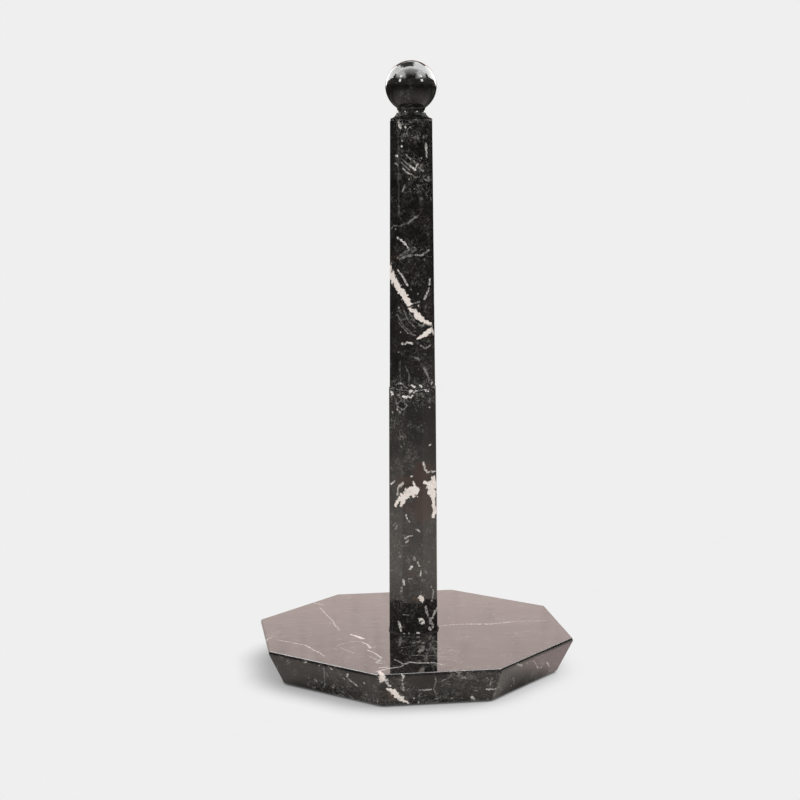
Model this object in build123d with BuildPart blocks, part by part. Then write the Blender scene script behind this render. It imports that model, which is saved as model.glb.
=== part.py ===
"""Free-standing paper towel holder of polished black marble.

An octagonal slab with undercut sides carries a two-piece octagonal post, and a turned ball finial ends
the post. A steel tie rod is bonded into the finial, runs down through both post pieces and the slab, and
is drawn tight by a nut in a round recess under the slab. Millimetres, +Z up. The origin is on the surface
that the holder stands on, under the post's axis, and -Y is the front.
"""

import os
from math import atan, degrees, sqrt

from build123d import *

INCH = 25.4

# ---- Driving dimensions --------------------------------------------------------------------------

# Rubber feet that the slab stands on
foot_pad_thickness = 1.0
foot_pad_diameter = 18.0
foot_pad_edge_margin = 8.0  # from a foot's rim to the slab's lower edge

# Slab
base_flats = 6 * INCH  # across the front and back sides, and across the left and right sides
base_thickness = 17.3
base_lip = 1.6  # upright band under the top face, before the sides slope in
base_undercut = 7.2  # how far each side has sloped in at the underside
base_edge_round = 0.5
# How much further in than a regular octagon's side each corner cut lies: the slab is cut by hand.
corner_trim = {"front_right": 0.96, "back_right": -1.14, "back_left": 0.51, "front_left": 1.81}

# Post: both pieces taper upwards
lower_length = 124.5
lower_flats_bottom = 24.4
lower_flats_top = 23.2
lower_turn = -10.2  # degrees about the axis from the slab's octagon
upper_length = 132.0
upper_flats_bottom = 21.5
upper_flats_top = 19.6
upper_turn = -21.7
post_arris = 0.35  # chamfer along each long edge and round each end

# Ball finial: foot, cove, neck and ball turned in one piece
ball_diameter = 25.2
neck_diameter = 13.7
foot_diameter = 20.6
foot_rim = 0.4  # upright edge of the foot
cove_height = 4.2  # from the rim to the narrowest point of the neck
neck_blend = 1.4  # radius where the neck meets the ball
ball_centre_above_foot = 16.1

# Resin beds between the stones
bed_thickness = 0.3
bed_setback = 0.25  # how far a bed stops short of the stone's edge

# Tie rod and its fixing
rod_diameter = 6.0
rod_clearance = 0.5  # between the rod and the bores in the slab and the post
rod_end_chamfer = 0.6
socket_resin_wall = 1.0  # resin between the rod and the finial's socket
socket_grip = 12.0  # length of rod held in the finial
recess_clearance = 2.0  # radial, between the washer and the recess that it sits in
washer_diameter = 18.0
washer_thickness = 1.6
washer_clearance = 0.2  # radial, between a washer's hole and the rod
spring_washer_diameter = 11.0
spring_washer_thickness = 1.6
spring_washer_gap = 0.8  # width of the split
nut_flats = 10.0
nut_height = 5.0
nut_chamfer = 0.5
rod_past_nut = 1.8
rod_end_setback = 1.0  # how far the rod's lower end stays inside the recess

# ---- Derived heights and sizes -------------------------------------------------------------------

base_bottom = foot_pad_thickness
base_top = base_bottom + base_thickness
lower_start = base_top + bed_thickness
lower_end = lower_start + lower_length
upper_start = lower_end + bed_thickness
upper_end = upper_start + upper_length
finial_start = upper_end + bed_thickness

rod_radius = rod_diameter / 2
bore_radius = rod_radius + rod_clearance
washer_bore_radius = rod_radius + washer_clearance
recess_radius = washer_diameter / 2 + recess_clearance
rod_start = base_bottom + rod_end_setback
nut_bottom = rod_start + rod_past_nut
spring_washer_bottom = nut_bottom + nut_height
washer_bottom = spring_washer_bottom + spring_washer_thickness
recess_depth = washer_bottom + washer_thickness - base_bottom
rod_end = finial_start + socket_grip
socket_radius = rod_radius + socket_resin_wall
socket_depth = socket_grip + socket_resin_wall


def taper_angle(inset, height):
    """Draft in degrees of a side that comes in by inset over height."""
    return degrees(atan(inset / height))


def corner_leg(name):
    """Leg of the 45 degree cut that takes one corner off the square slab."""
    side_distance = base_flats / 2 - corner_trim[name]
    return base_flats - sqrt(2) * side_distance


def at_height(height):
    return Plane.XY.offset(height)


def turned_plane(height, turn):
    """A level plane at height, turned about the post's axis."""
    return Plane((0, 0, height)).rotated((0, 0, turn))


def octagon(flats):
    """An octagon across its flats, with a flat side facing -Y."""
    return RegularPolygon(radius=flats / 2, side_count=8, major_radius=False)


# ---- Slab ----------------------------------------------------------------------------------------

with BuildPart() as base_slab:
    with BuildSketch(at_height(base_top)) as top_outline:
        Rectangle(base_flats, base_flats)
        front_back = top_outline.vertices().sort_by(Axis.Y)
        front, back = front_back[:2].sort_by(Axis.X), front_back[2:].sort_by(Axis.X)
        chamfer(front[0], corner_leg("front_left"))
        chamfer(front[1], corner_leg("front_right"))
        chamfer(back[0], corner_leg("back_left"))
        chamfer(back[1], corner_leg("back_right"))
    extrude(amount=-base_lip)
    lip_face = base_slab.faces().sort_by(Axis.Z)[0]
    slope_height = base_thickness - base_lip
    extrude(lip_face, amount=slope_height, dir=(0, 0, -1), taper=taper_angle(base_undercut, slope_height))
    fillet(base_slab.edges(), base_edge_round)
    with BuildSketch(at_height(base_bottom)):
        Circle(bore_radius)
    extrude(amount=base_thickness, mode=Mode.SUBTRACT)
    with BuildSketch(at_height(base_bottom)):
        Circle(recess_radius)
    extrude(amount=recess_depth, mode=Mode.SUBTRACT)

# ---- Post ----------------------------------------------------------------------------------------


def post_piece(start, length, flats_bottom, flats_top, turn):
    """A tapered octagonal stone bar with broken edges and a bore for the tie rod."""
    with BuildPart() as piece:
        with BuildSketch(turned_plane(start, turn)):
            octagon(flats_bottom)
        extrude(amount=length, taper=taper_angle((flats_bottom - flats_top) / 2, length))
        chamfer(piece.edges(), post_arris)
        with BuildSketch(at_height(start)):
            Circle(bore_radius)
        extrude(amount=length, mode=Mode.SUBTRACT)
    return piece


lower_post = post_piece(lower_start, lower_length, lower_flats_bottom, lower_flats_top, lower_turn)
upper_post = post_piece(upper_start, upper_length, upper_flats_bottom, upper_flats_top, upper_turn)

# ---- Finial --------------------------------------------------------------------------------------

foot_radius = foot_diameter / 2
neck_radius = neck_diameter / 2
ball_radius = ball_diameter / 2
rim_top = finial_start + foot_rim
cove_top = rim_top + cove_height
ball_centre = finial_start + ball_centre_above_foot
ball_start = ball_centre - sqrt(ball_radius**2 - neck_radius**2)
ball_top = ball_centre + ball_radius

with BuildPart() as ball_finial:
    with BuildSketch(Plane.XZ) as finial_outline:
        with BuildLine():
            Polyline((0, ball_top), (0, finial_start), (foot_radius, finial_start), (foot_radius, rim_top))
            TangentArc((neck_radius, cove_top), (foot_radius, rim_top), tangent=(0, -1))
            Line((neck_radius, cove_top), (neck_radius, ball_start))
            ThreePointArc((neck_radius, ball_start), (ball_radius, ball_centre), (0, ball_top))
        make_face()
        fillet(finial_outline.vertices().sort_by_distance((neck_radius, ball_start))[0], neck_blend)
    revolve(axis=Axis.Z)
    with BuildSketch(at_height(finial_start)):
        Circle(socket_radius)
    extrude(amount=socket_depth, mode=Mode.SUBTRACT)

# ---- Resin ---------------------------------------------------------------------------------------


def resin_bed(start, stone_width, turn):
    """The thin bed between two stones, set back from the smaller one's broken edge and open for the rod."""
    with BuildPart() as bed:
        with BuildSketch(turned_plane(start, turn)):
            octagon(stone_width - 2 * (post_arris + bed_setback))
            Circle(bore_radius, mode=Mode.SUBTRACT)
        extrude(amount=bed_thickness)
    return bed


base_resin = resin_bed(base_top, lower_flats_bottom, lower_turn)
middle_resin = resin_bed(lower_end, min(lower_flats_top, upper_flats_bottom), upper_turn)
finial_resin = resin_bed(upper_end, min(upper_flats_top, foot_diameter), upper_turn)

with BuildPart() as socket_resin:
    with BuildSketch(at_height(finial_start)):
        Circle(socket_radius)
    extrude(amount=socket_depth)
    with BuildSketch(at_height(finial_start)):
        Circle(rod_radius)
    extrude(amount=socket_grip, mode=Mode.SUBTRACT)

# ---- Tie rod and its fixing ----------------------------------------------------------------------

with BuildPart() as tie_rod:
    with BuildSketch(at_height(rod_start)):
        Circle(rod_radius)
    extrude(amount=rod_end - rod_start)
    chamfer(tie_rod.edges().group_by(Axis.Z)[0], rod_end_chamfer)

with BuildPart() as flat_washer:
    with BuildSketch(at_height(washer_bottom)):
        Circle(washer_diameter / 2)
        Circle(washer_bore_radius, mode=Mode.SUBTRACT)
    extrude(amount=washer_thickness)

with BuildPart() as spring_washer:
    with BuildSketch(at_height(spring_washer_bottom)):
        Circle(spring_washer_diameter / 2)
        Circle(washer_bore_radius, mode=Mode.SUBTRACT)
        with Locations((spring_washer_diameter / 2, 0)):
            Rectangle(spring_washer_diameter, spring_washer_gap, mode=Mode.SUBTRACT)
    extrude(amount=spring_washer_thickness)

with BuildPart() as hex_nut:
    with BuildSketch(at_height(nut_bottom)):
        RegularPolygon(radius=nut_flats / 2, side_count=6, major_radius=False)
    extrude(amount=nut_height)
    chamfer(hex_nut.edges().group_by(Axis.Z)[0], nut_chamfer)
    with BuildSketch(at_height(nut_bottom)):
        Circle(rod_radius)
    extrude(amount=nut_height, mode=Mode.SUBTRACT)

# ---- Rubber feet ---------------------------------------------------------------------------------

foot_pad_reach = base_flats / 2 - base_undercut - foot_pad_edge_margin - foot_pad_diameter / 2
foot_pads = {}
for corner, angle in {"front_right": -45, "back_right": 45, "back_left": 135, "front_left": 225}.items():
    with BuildPart() as foot_pad:
        with BuildSketch(Plane.XY):
            with PolarLocations(foot_pad_reach, 1, start_angle=angle):
                Circle(foot_pad_diameter / 2)
        extrude(amount=foot_pad_thickness)
    foot_pads[f"rubber_foot_{corner}"] = foot_pad

# ---- Export --------------------------------------------------------------------------------------

pieces = {
    "base_slab": base_slab,
    "lower_post": lower_post,
    "upper_post": upper_post,
    "ball_finial": ball_finial,
    "base_resin": base_resin,
    "middle_resin": middle_resin,
    "finial_resin": finial_resin,
    "socket_resin": socket_resin,
    "tie_rod": tie_rod,
    "flat_washer": flat_washer,
    "spring_washer": spring_washer,
    "hex_nut": hex_nut,
    **foot_pads,
}

os.makedirs("parts", exist_ok=True)
for name, piece in pieces.items():
    piece.part.label = name
    export_step(piece.part, f"parts/{name}.step")
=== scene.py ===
"""Paper towel holder of polished black marble: its finished surfaces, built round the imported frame.

Every piece stands where the frame says, in metres, +Z up and -Y to the front. The stones are skinned from
stacked outlines, the thread, the feet and the beads of filler are grown with geometry nodes, and each
stone's veins are drawn in its material, in millimetres.
"""

import math
from collections import namedtuple

import bmesh
import bpy
from bpy.props import FloatProperty, FloatVectorProperty, IntProperty, PointerProperty
from mathutils import Matrix, Vector, noise


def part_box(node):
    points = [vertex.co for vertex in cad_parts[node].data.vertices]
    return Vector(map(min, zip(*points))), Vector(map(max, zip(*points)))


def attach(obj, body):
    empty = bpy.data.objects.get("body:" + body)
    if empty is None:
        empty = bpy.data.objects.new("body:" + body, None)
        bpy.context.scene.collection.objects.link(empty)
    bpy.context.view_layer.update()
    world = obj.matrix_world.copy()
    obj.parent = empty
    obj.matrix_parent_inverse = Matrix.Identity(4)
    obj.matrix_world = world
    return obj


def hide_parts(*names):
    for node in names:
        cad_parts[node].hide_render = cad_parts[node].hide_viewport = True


bl_info = {
    "name": "Marble Paper Towel Holder",
    "version": (1, 0, 0),
    "blender": (4, 5, 0),
    "location": "3D View > Sidebar > Towel Holder",
    "description": "Builds an octagonal marble paper towel holder piece by piece, with its stage",
    "category": "Object",
}

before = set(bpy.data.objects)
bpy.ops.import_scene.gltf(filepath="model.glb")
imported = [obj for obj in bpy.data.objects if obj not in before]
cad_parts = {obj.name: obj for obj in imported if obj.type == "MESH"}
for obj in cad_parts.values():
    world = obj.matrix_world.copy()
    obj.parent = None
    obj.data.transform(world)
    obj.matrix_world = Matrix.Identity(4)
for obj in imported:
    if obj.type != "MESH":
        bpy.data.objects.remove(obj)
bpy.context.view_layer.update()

MM = 0.001
OCTANT = math.pi / 4
FRONT = -math.pi / 2


def heights(node):
    """The heights at which a node starts and ends."""
    low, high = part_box(node)
    return low.z, high.z


# ---- Settings -----------------------------------------------------------------------------------------


def length(name, description, default):
    return FloatProperty(name=name, description=description, default=default, unit="LENGTH", precision=5)


def angle(name, description, degrees):
    return FloatProperty(name=name, description=description, default=math.radians(degrees), subtype="ANGLE")


def factor(name, description, default):
    return FloatProperty(name=name, description=description, default=default, subtype="FACTOR", min=0, max=1)


def amount(name, description, default):
    return FloatProperty(name=name, description=description, default=default, min=0)


def colour(name, description, default):
    return FloatVectorProperty(
        name=name, description=description, default=default, subtype="COLOR", size=3, min=0, soft_max=1
    )


class SlabSettings(bpy.types.PropertyGroup):
    """The octagonal slab."""

    lip: length("Lip", "Height of the upright band under the top face", 1.6 * MM)
    lip_lean: length("Lip lean", "How far the band leans in at its top", 0.25 * MM)
    undercut: length("Undercut", "How far the sides slope in at the underside", 7.2 * MM)
    edge_round: length("Edge round", "Radius along the slab's edges", 0.45 * MM)
    corner_round: length("Corner round", "Radius of the upright corners", 0.8 * MM)
    chipping: factor("Chipping", "How unevenly the edges are worn", 0.6)
    trims: FloatVectorProperty(
        name="Corner trims",
        description="How much further in than a regular octagon the four corner cuts lie: "
        "front right, back right, back left, front left",
        default=(0.96 * MM, -1.14 * MM, 0.51 * MM, 1.81 * MM),
        size=4,
        unit="LENGTH",
        precision=5,
    )


class PostSettings(bpy.types.PropertyGroup):
    """The two post pieces."""

    lower_foot: length("Lower foot", "Lower piece across its flats at the bottom", 24.4 * MM)
    lower_head: length("Lower head", "Lower piece across its flats at the top", 23.2 * MM)
    lower_turn: angle("Lower turn", "Turn of the lower piece about the post's axis", -10.2)
    upper_foot: length("Upper foot", "Upper piece across its flats at the bottom", 21.5 * MM)
    upper_head: length("Upper head", "Upper piece across its flats at the top", 19.6 * MM)
    upper_turn: angle("Upper turn", "Turn of the upper piece about the post's axis", -21.7)
    arris_round: length("Arris round", "Radius along the long edges", 1.1 * MM)
    end_round: length("End round", "Radius round each end", 0.2 * MM)
    chipping: factor("Chipping", "How unevenly the edges are worn", 0.7)


class FinialSettings(bpy.types.PropertyGroup):
    """The turned ball, neck and foot."""

    neck: length("Neck", "Diameter of the neck", 13.7 * MM)
    foot: length("Foot", "Diameter of the foot", 20.6 * MM)
    rim: length("Rim", "Height of the foot's upright edge", 0.4 * MM)
    cove: length("Cove", "Height of the hollow from the rim to the neck", 4.2 * MM)
    neck_blend: length("Neck blend", "Radius where the neck meets the ball", 1.4 * MM)


class FixingSettings(bpy.types.PropertyGroup):
    """The threaded rod, its nut and washers, the resin and the feet."""

    pitch: length("Thread pitch", "Distance from one thread to the next", 1.0 * MM)
    thread_depth: length("Thread depth", "Depth of the thread", 0.61 * MM)
    rod_chamfer: length("Rod chamfer", "Chamfer at the rod's ends", 0.6 * MM)
    washer_hole: length("Washer hole", "Diameter of the washers' holes", 6.4 * MM)
    split: length("Split", "Width of the split in the spring washer", 0.8 * MM)
    squeeze: length("Squeeze", "How far resin is squeezed out round the post's foot", 0.4 * MM)
    climb: length("Climb", "How far the squeezed-out resin climbs the stone above", 0.3 * MM)
    raggedness: length("Raggedness", "How unevenly the resin's edge runs", 0.2 * MM)
    bead: length("Bead", "Radius of the largest beads of resin round a joint", 0.34 * MM)
    beads: IntProperty(name="Beads", description="Beads of resin round each joint", default=44, min=1)
    studs: IntProperty(name="Studs", description="Grip studs under each foot", default=48, min=1)
    stud: length("Stud", "Diameter of a grip stud", 1.1 * MM)
    stud_height: length("Stud height", "Height of a grip stud", 0.35 * MM)
    steel: colour("Steel", "Bright zinc plate", (0.62, 0.62, 0.60))
    dull_steel: colour("Dull steel", "Dull patches in the plate", (0.44, 0.43, 0.40))
    resin: colour("Resin", "Black setting resin", (0.010, 0.009, 0.009))
    grit: colour("Grit", "Stone dust caught in the resin", (0.09, 0.085, 0.08))
    rubber: colour("Rubber", "Feet", (0.014, 0.014, 0.015))
    dust: colour("Dust", "Dust on the rubber", (0.075, 0.070, 0.063))


class MarbleSettings(bpy.types.PropertyGroup):
    """Colours of the stone and its polish."""

    black: colour("Black", "Ground of the stone", (0.0065, 0.0062, 0.0058))
    smoke: colour("Smoke", "Grey clouds in the ground", (0.030, 0.029, 0.025))
    plum: colour("Plum", "Warmer clouds in the ground", (0.034, 0.025, 0.026))
    grey: colour("Grey", "Fine grey veins and wisps", (0.30, 0.29, 0.26))
    white: colour("White", "Crisp white veins", (0.86, 0.82, 0.77))
    cream: colour("Cream", "Broad cream veins", (0.80, 0.68, 0.61))
    stain: colour("Stain", "Brown stains beside the veins", (0.042, 0.018, 0.012))
    rust: colour("Rust", "Rusty flecks", (0.11, 0.045, 0.022))
    polish: factor("Polish", "Roughness of the polished stone", 0.05)


class StageSettings(bpy.types.PropertyGroup):
    """Floor, light and camera."""

    pale: colour("Pale", "Floor and backdrop", (0.863, 0.863, 0.863))
    wall: colour("Wall", "Backdrop as the polish reflects it", (1.55, 1.27, 1.20))
    softbox: amount("Softbox", "Brightness of the overhead softboxes", 20.0)
    softbox_distance: length("Softbox distance", "From the post to the softboxes beside it", 350 * MM)
    floor_gleam: amount("Floor gleam", "Brightness of the floor as the polish reflects it", 1.8)
    floor_reach: length("Floor reach", "Distance at which the reflected floor is half as bright", 0.5)
    shadow_reach: length("Shadow reach", "Width of the contact shadow", 22 * MM)
    shadow_depth: factor("Shadow depth", "Brightness left in the darkest part of the shadow", 0.40)
    # Painted shadow: the width of the darkest line painted into the floor's glow right under an edge.
    crevice: length("Crevice", "Width of the darkest line, right under an edge", 3 * MM)
    camera_azimuth: angle("Camera azimuth", "How far the camera stands towards the left", 8.69)
    camera_elevation: angle("Camera elevation", "Height of the camera above the slab", 15.59)
    camera_distance: length("Camera distance", "From the middle of the slab's top", 888.8 * MM)
    camera_pitch: angle("Camera pitch", "Upward turn from the middle of the slab's top", 7.568)
    camera_yaw: angle("Camera yaw", "Leftward turn from the middle of the slab's top", 0.418)
    camera_roll: angle("Camera roll", "Clockwise roll", 0.285)
    lens: FloatProperty(name="Lens", description="Focal length in millimetres", default=77.41, min=1)


class HolderSettings(bpy.types.PropertyGroup):
    """Everything that can be changed on the holder."""

    slab: PointerProperty(name="Slab", description="The octagonal slab", type=SlabSettings)
    post: PointerProperty(name="Post", description="The two post pieces", type=PostSettings)
    finial: PointerProperty(name="Finial", description="The turned ball", type=FinialSettings)
    fixing: PointerProperty(name="Fixing", description="Rod, nut, resin and feet", type=FixingSettings)
    marble: PointerProperty(name="Marble", description="Colours of the stone", type=MarbleSettings)
    stage: PointerProperty(name="Stage", description="Floor, light and camera", type=StageSettings)


# ---- Outlines and skins -------------------------------------------------------------------------------

Station = namedtuple("Station", "side turn run")  # a place on an octagon's outline


def stations(side_steps, corner_steps):
    """Places round an octagon: through each side's first corner, then along the side."""
    found = []
    for side in range(8):
        found += [Station(side, step / corner_steps, 0) for step in range(corner_steps + 1)]
        found += [Station(side, 1, step / side_steps) for step in range(1, side_steps)]
    return found


def octagon(half_width, turn=0.0, trims=(0, 0, 0, 0)):
    """The sides of an octagon as (direction, distance), from the front one anticlockwise."""
    reach = [half_width] * 8
    for corner, trim in enumerate(trims):
        reach[2 * corner + 1] -= trim
    return [(FRONT + turn + side * OCTANT, reach[side]) for side in range(8)]


def direction(heading):
    return Vector((math.cos(heading), math.sin(heading)))


def corner_point(sides, side, inset):
    """Where a side meets the one before it, both moved in by inset."""
    heading, reach = sides[side]
    before, before_reach = heading - OCTANT, sides[side - 1][1]
    reach, before_reach = reach - inset, before_reach - inset
    x = before_reach * math.sin(heading) - reach * math.sin(before)
    y = reach * math.cos(before) - before_reach * math.cos(heading)
    return Vector((x, y)) / math.sin(OCTANT)


def outline_point(sides, place, inset, rounding):
    """A station's point on an octagon that is moved in by inset and rounded at its corners."""
    heading = sides[place.side][0]
    turned = heading - OCTANT * (1 - place.turn)
    start = corner_point(sides, place.side, inset + rounding) + rounding * direction(turned)
    if not place.run:
        return start
    end = corner_point(sides, (place.side + 1) % 8, inset + rounding) + rounding * direction(heading)
    return start.lerp(end, place.run)


def bore_ring(outline, radius, z):
    """A circle with one point under each point of an outline."""
    return [(Vector((p.x, p.y)).normalized() * radius).to_3d() + Vector((0, 0, z)) for p in outline]


def wear(point, grain, chipping):
    """How much wider than its radius an edge is worn at a point: mostly a little, here and there a chip."""
    broad = noise.noise(point / grain)
    fine = noise.noise(point / grain * 3.7)
    chip = max(0.0, broad + 0.6 * fine - 0.45)
    return 1 + chipping * (0.35 * fine + 2.2 * chip)


def skin(name, rings, closed, capped=False):
    """A mesh object from a stack of equal rings. Each joins the next, and if closed, the last the first."""
    shell = bmesh.new()
    rows = [[shell.verts.new(point) for point in ring] for ring in rings]
    count = len(rows[0])
    pairs = list(zip(rows, rows[1:] + rows[:1])) if closed else list(zip(rows, rows[1:]))
    for lower, upper in pairs:
        for i in range(count):
            j = (i + 1) % count
            shell.faces.new((lower[i], lower[j], upper[j], upper[i]))
    if capped:
        shell.faces.new(rows[0])
        shell.faces.new(rows[-1])
    bmesh.ops.remove_doubles(shell, verts=shell.verts, dist=1e-7)
    bmesh.ops.recalc_face_normals(shell, faces=shell.faces)
    mesh = bpy.data.meshes.new(name)
    shell.to_mesh(mesh)
    shell.free()
    made = bpy.data.objects.new(name, mesh)
    bpy.context.scene.collection.objects.link(made)
    return made


def baked(made):
    """Turn an object's modifiers into plain mesh."""
    evaluated = made.evaluated_get(bpy.context.evaluated_depsgraph_get())
    mesh = bpy.data.meshes.new_from_object(evaluated)
    mesh.name = made.name
    made.modifiers.clear()
    made.data = mesh
    return made


def polished(made, sharp_degrees=40):
    """Shade smooth, with flat faces kept truly flat beside their rounded edges."""
    mesh = made.data
    mesh.polygons.foreach_set("use_smooth", [True] * len(mesh.polygons))
    mesh.set_sharp_from_angle(angle=math.radians(sharp_degrees))
    weighting = made.modifiers.new("Flat faces stay flat", "WEIGHTED_NORMAL")
    weighting.keep_sharp = True
    weighting.weight = 100
    return baked(made)


def grown(made, tree, inputs):
    """Run a geometry tree on an object and keep what it makes as plain mesh."""
    modifier = made.modifiers.new(tree.name, "NODES")
    modifier.node_group = tree
    for item in tree.interface.items_tree:
        if item.in_out == "INPUT" and item.name in inputs:
            modifier[item.identifier] = inputs[item.name]
    return baked(made)


def sealed(made):
    """Merge doubled points and turn all faces outwards."""
    shell = bmesh.new()
    shell.from_mesh(made.data)
    bmesh.ops.remove_doubles(shell, verts=shell.verts, dist=1e-6)
    bmesh.ops.recalc_face_normals(shell, faces=shell.faces)
    shell.to_mesh(made.data)
    shell.free()
    return made


def finish_piece(made, material, slot, *nodes):
    """Give a piece its material and let it stand for its nodes."""
    made.data.materials.clear()
    made.data.materials.append(material)
    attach(made, "root")
    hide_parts(*nodes)
    return made


def lathe(profile, steps):
    """Rings about the z axis from (radius, height) points."""
    turns = [2 * math.pi * step / steps for step in range(steps)]
    return [[Vector((r * math.cos(t), r * math.sin(t), z)) for t in turns] for r, z in profile]


def arc(centre, radius, start, end, steps):
    """(radius, height) points along an arc, angles in degrees from the outward direction."""
    sweep = [math.radians(start + (end - start) * step / steps) for step in range(steps + 1)]
    return [(centre[0] + radius * math.cos(a), centre[1] + radius * math.sin(a)) for a in sweep]


# ---- Node helpers -------------------------------------------------------------------------------------


def feed(tree, socket, value):
    """Link or set one input."""
    if isinstance(value, bpy.types.NodeSocket):
        tree.links.new(value, socket)
    elif value is not None:
        socket.default_value = value


def add(tree, kind, inputs=None, **settings):
    """Add a node with its settings and inputs, and return it."""
    made = tree.nodes.new(kind)
    for name, value in settings.items():
        setattr(made, name, value)
    for key, value in (inputs or {}).items():
        feed(tree, made.inputs[key], value)
    return made


def calc(tree, operation, *values):
    return add(tree, "ShaderNodeMath", dict(enumerate(values)), operation=operation).outputs[0]


def clamped(tree, value):
    """A value held between 0 and 1. Long chains of strokes render only without the Math node's own clamp."""
    return calc(tree, "MINIMUM", calc(tree, "MAXIMUM", value, 0.0), 1.0)


def times(tree, one, other):
    return calc(tree, "MULTIPLY", one, other)


def plus(tree, one, other):
    return calc(tree, "ADD", one, other)


def minus(tree, one, other):
    return calc(tree, "SUBTRACT", one, other)


def vector_calc(tree, operation, *values, scale=None):
    made = add(tree, "ShaderNodeVectorMath", dict(enumerate(values)), operation=operation)
    feed(tree, made.inputs[3], scale)
    return made.outputs["Value" if operation in {"DOT_PRODUCT", "LENGTH", "DISTANCE"} else "Vector"]


def blend(tree, share, first, second):
    """Mix two colours."""
    made = add(tree, "ShaderNodeMix", data_type="RGBA")
    colour_in = [socket for socket in made.inputs if socket.type == "RGBA"]
    feed(tree, made.inputs["Factor"], share)
    feed(tree, colour_in[0], first)
    feed(tree, colour_in[1], second)
    return next(socket for socket in made.outputs if socket.type == "RGBA")


def ramp(tree, value, low, high, start=0.0, end=1.0):
    """Smooth step from start to end as a value goes from low to high."""
    inputs = {"Value": value, "From Min": low, "From Max": high, "To Min": start, "To Max": end}
    return add(tree, "ShaderNodeMapRange", inputs, interpolation_type="SMOOTHSTEP").outputs[0]


def grain(tree, vector, size, detail=2.0, output="Fac"):
    """Noise with features about size across, in the vector's own unit."""
    inputs = {"Vector": vector, "Scale": 1 / size, "Detail": detail}
    return add(tree, "ShaderNodeTexNoise", inputs).outputs[output]


def group(kind, name, inputs, outputs):
    """A new node group with its sockets; gives the tree, its input sockets and its output node."""
    tree = bpy.data.node_groups.new(name, kind)
    for socket_name, (socket_type, default) in inputs.items():
        socket = tree.interface.new_socket(socket_name, in_out="INPUT", socket_type=socket_type)
        if default is not None:
            socket.default_value = default
    for socket_name, socket_type in outputs.items():
        tree.interface.new_socket(socket_name, in_out="OUTPUT", socket_type=socket_type)
    return tree, tree.nodes.new("NodeGroupInput").outputs, tree.nodes.new("NodeGroupOutput")


def place_group(tree, held, inputs):
    made = add(tree, "ShaderNodeGroup", node_tree=held)
    for key, value in inputs.items():
        feed(tree, made.inputs[key], value)
    return made.outputs


def new_material(name):
    made = bpy.data.materials.new(name)
    made.use_nodes = True
    made.node_tree.nodes.clear()
    return made, made.node_tree


def surface(tree, inputs):
    """A Principled surface on the material's output."""
    shader = add(tree, "ShaderNodeBsdfPrincipled", inputs)
    output = tree.nodes.new("ShaderNodeOutputMaterial")
    tree.links.new(shader.outputs[0], output.inputs["Surface"])
    return shader


def opaque(shade):
    return (*shade, 1)


# ---- Stage --------------------------------------------------------------------------------------------


def camera_back(stage):
    """The direction from the slab to the camera."""
    azimuth, elevation = stage.camera_azimuth, stage.camera_elevation
    level = math.cos(elevation)
    return Vector((-math.sin(azimuth) * level, -math.cos(azimuth) * level, math.sin(elevation)))


def make_camera(stage):
    back = camera_back(stage)
    target = Vector((0, 0, heights("base_slab")[1]))
    look = (-back).to_track_quat("-Z", "Y").to_matrix().to_4x4()
    aim = Matrix.Rotation(stage.camera_pitch, 4, "X") @ Matrix.Rotation(stage.camera_yaw, 4, "Y")
    aim = aim @ Matrix.Rotation(-stage.camera_roll, 4, "Z")
    data = bpy.data.cameras.new("camera")
    data.lens = stage.lens
    made = bpy.data.objects.new("camera", data)
    made.matrix_world = Matrix.Translation(target + back * stage.camera_distance) @ look @ aim
    bpy.context.scene.collection.objects.link(made)
    bpy.context.scene.camera = made


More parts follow.
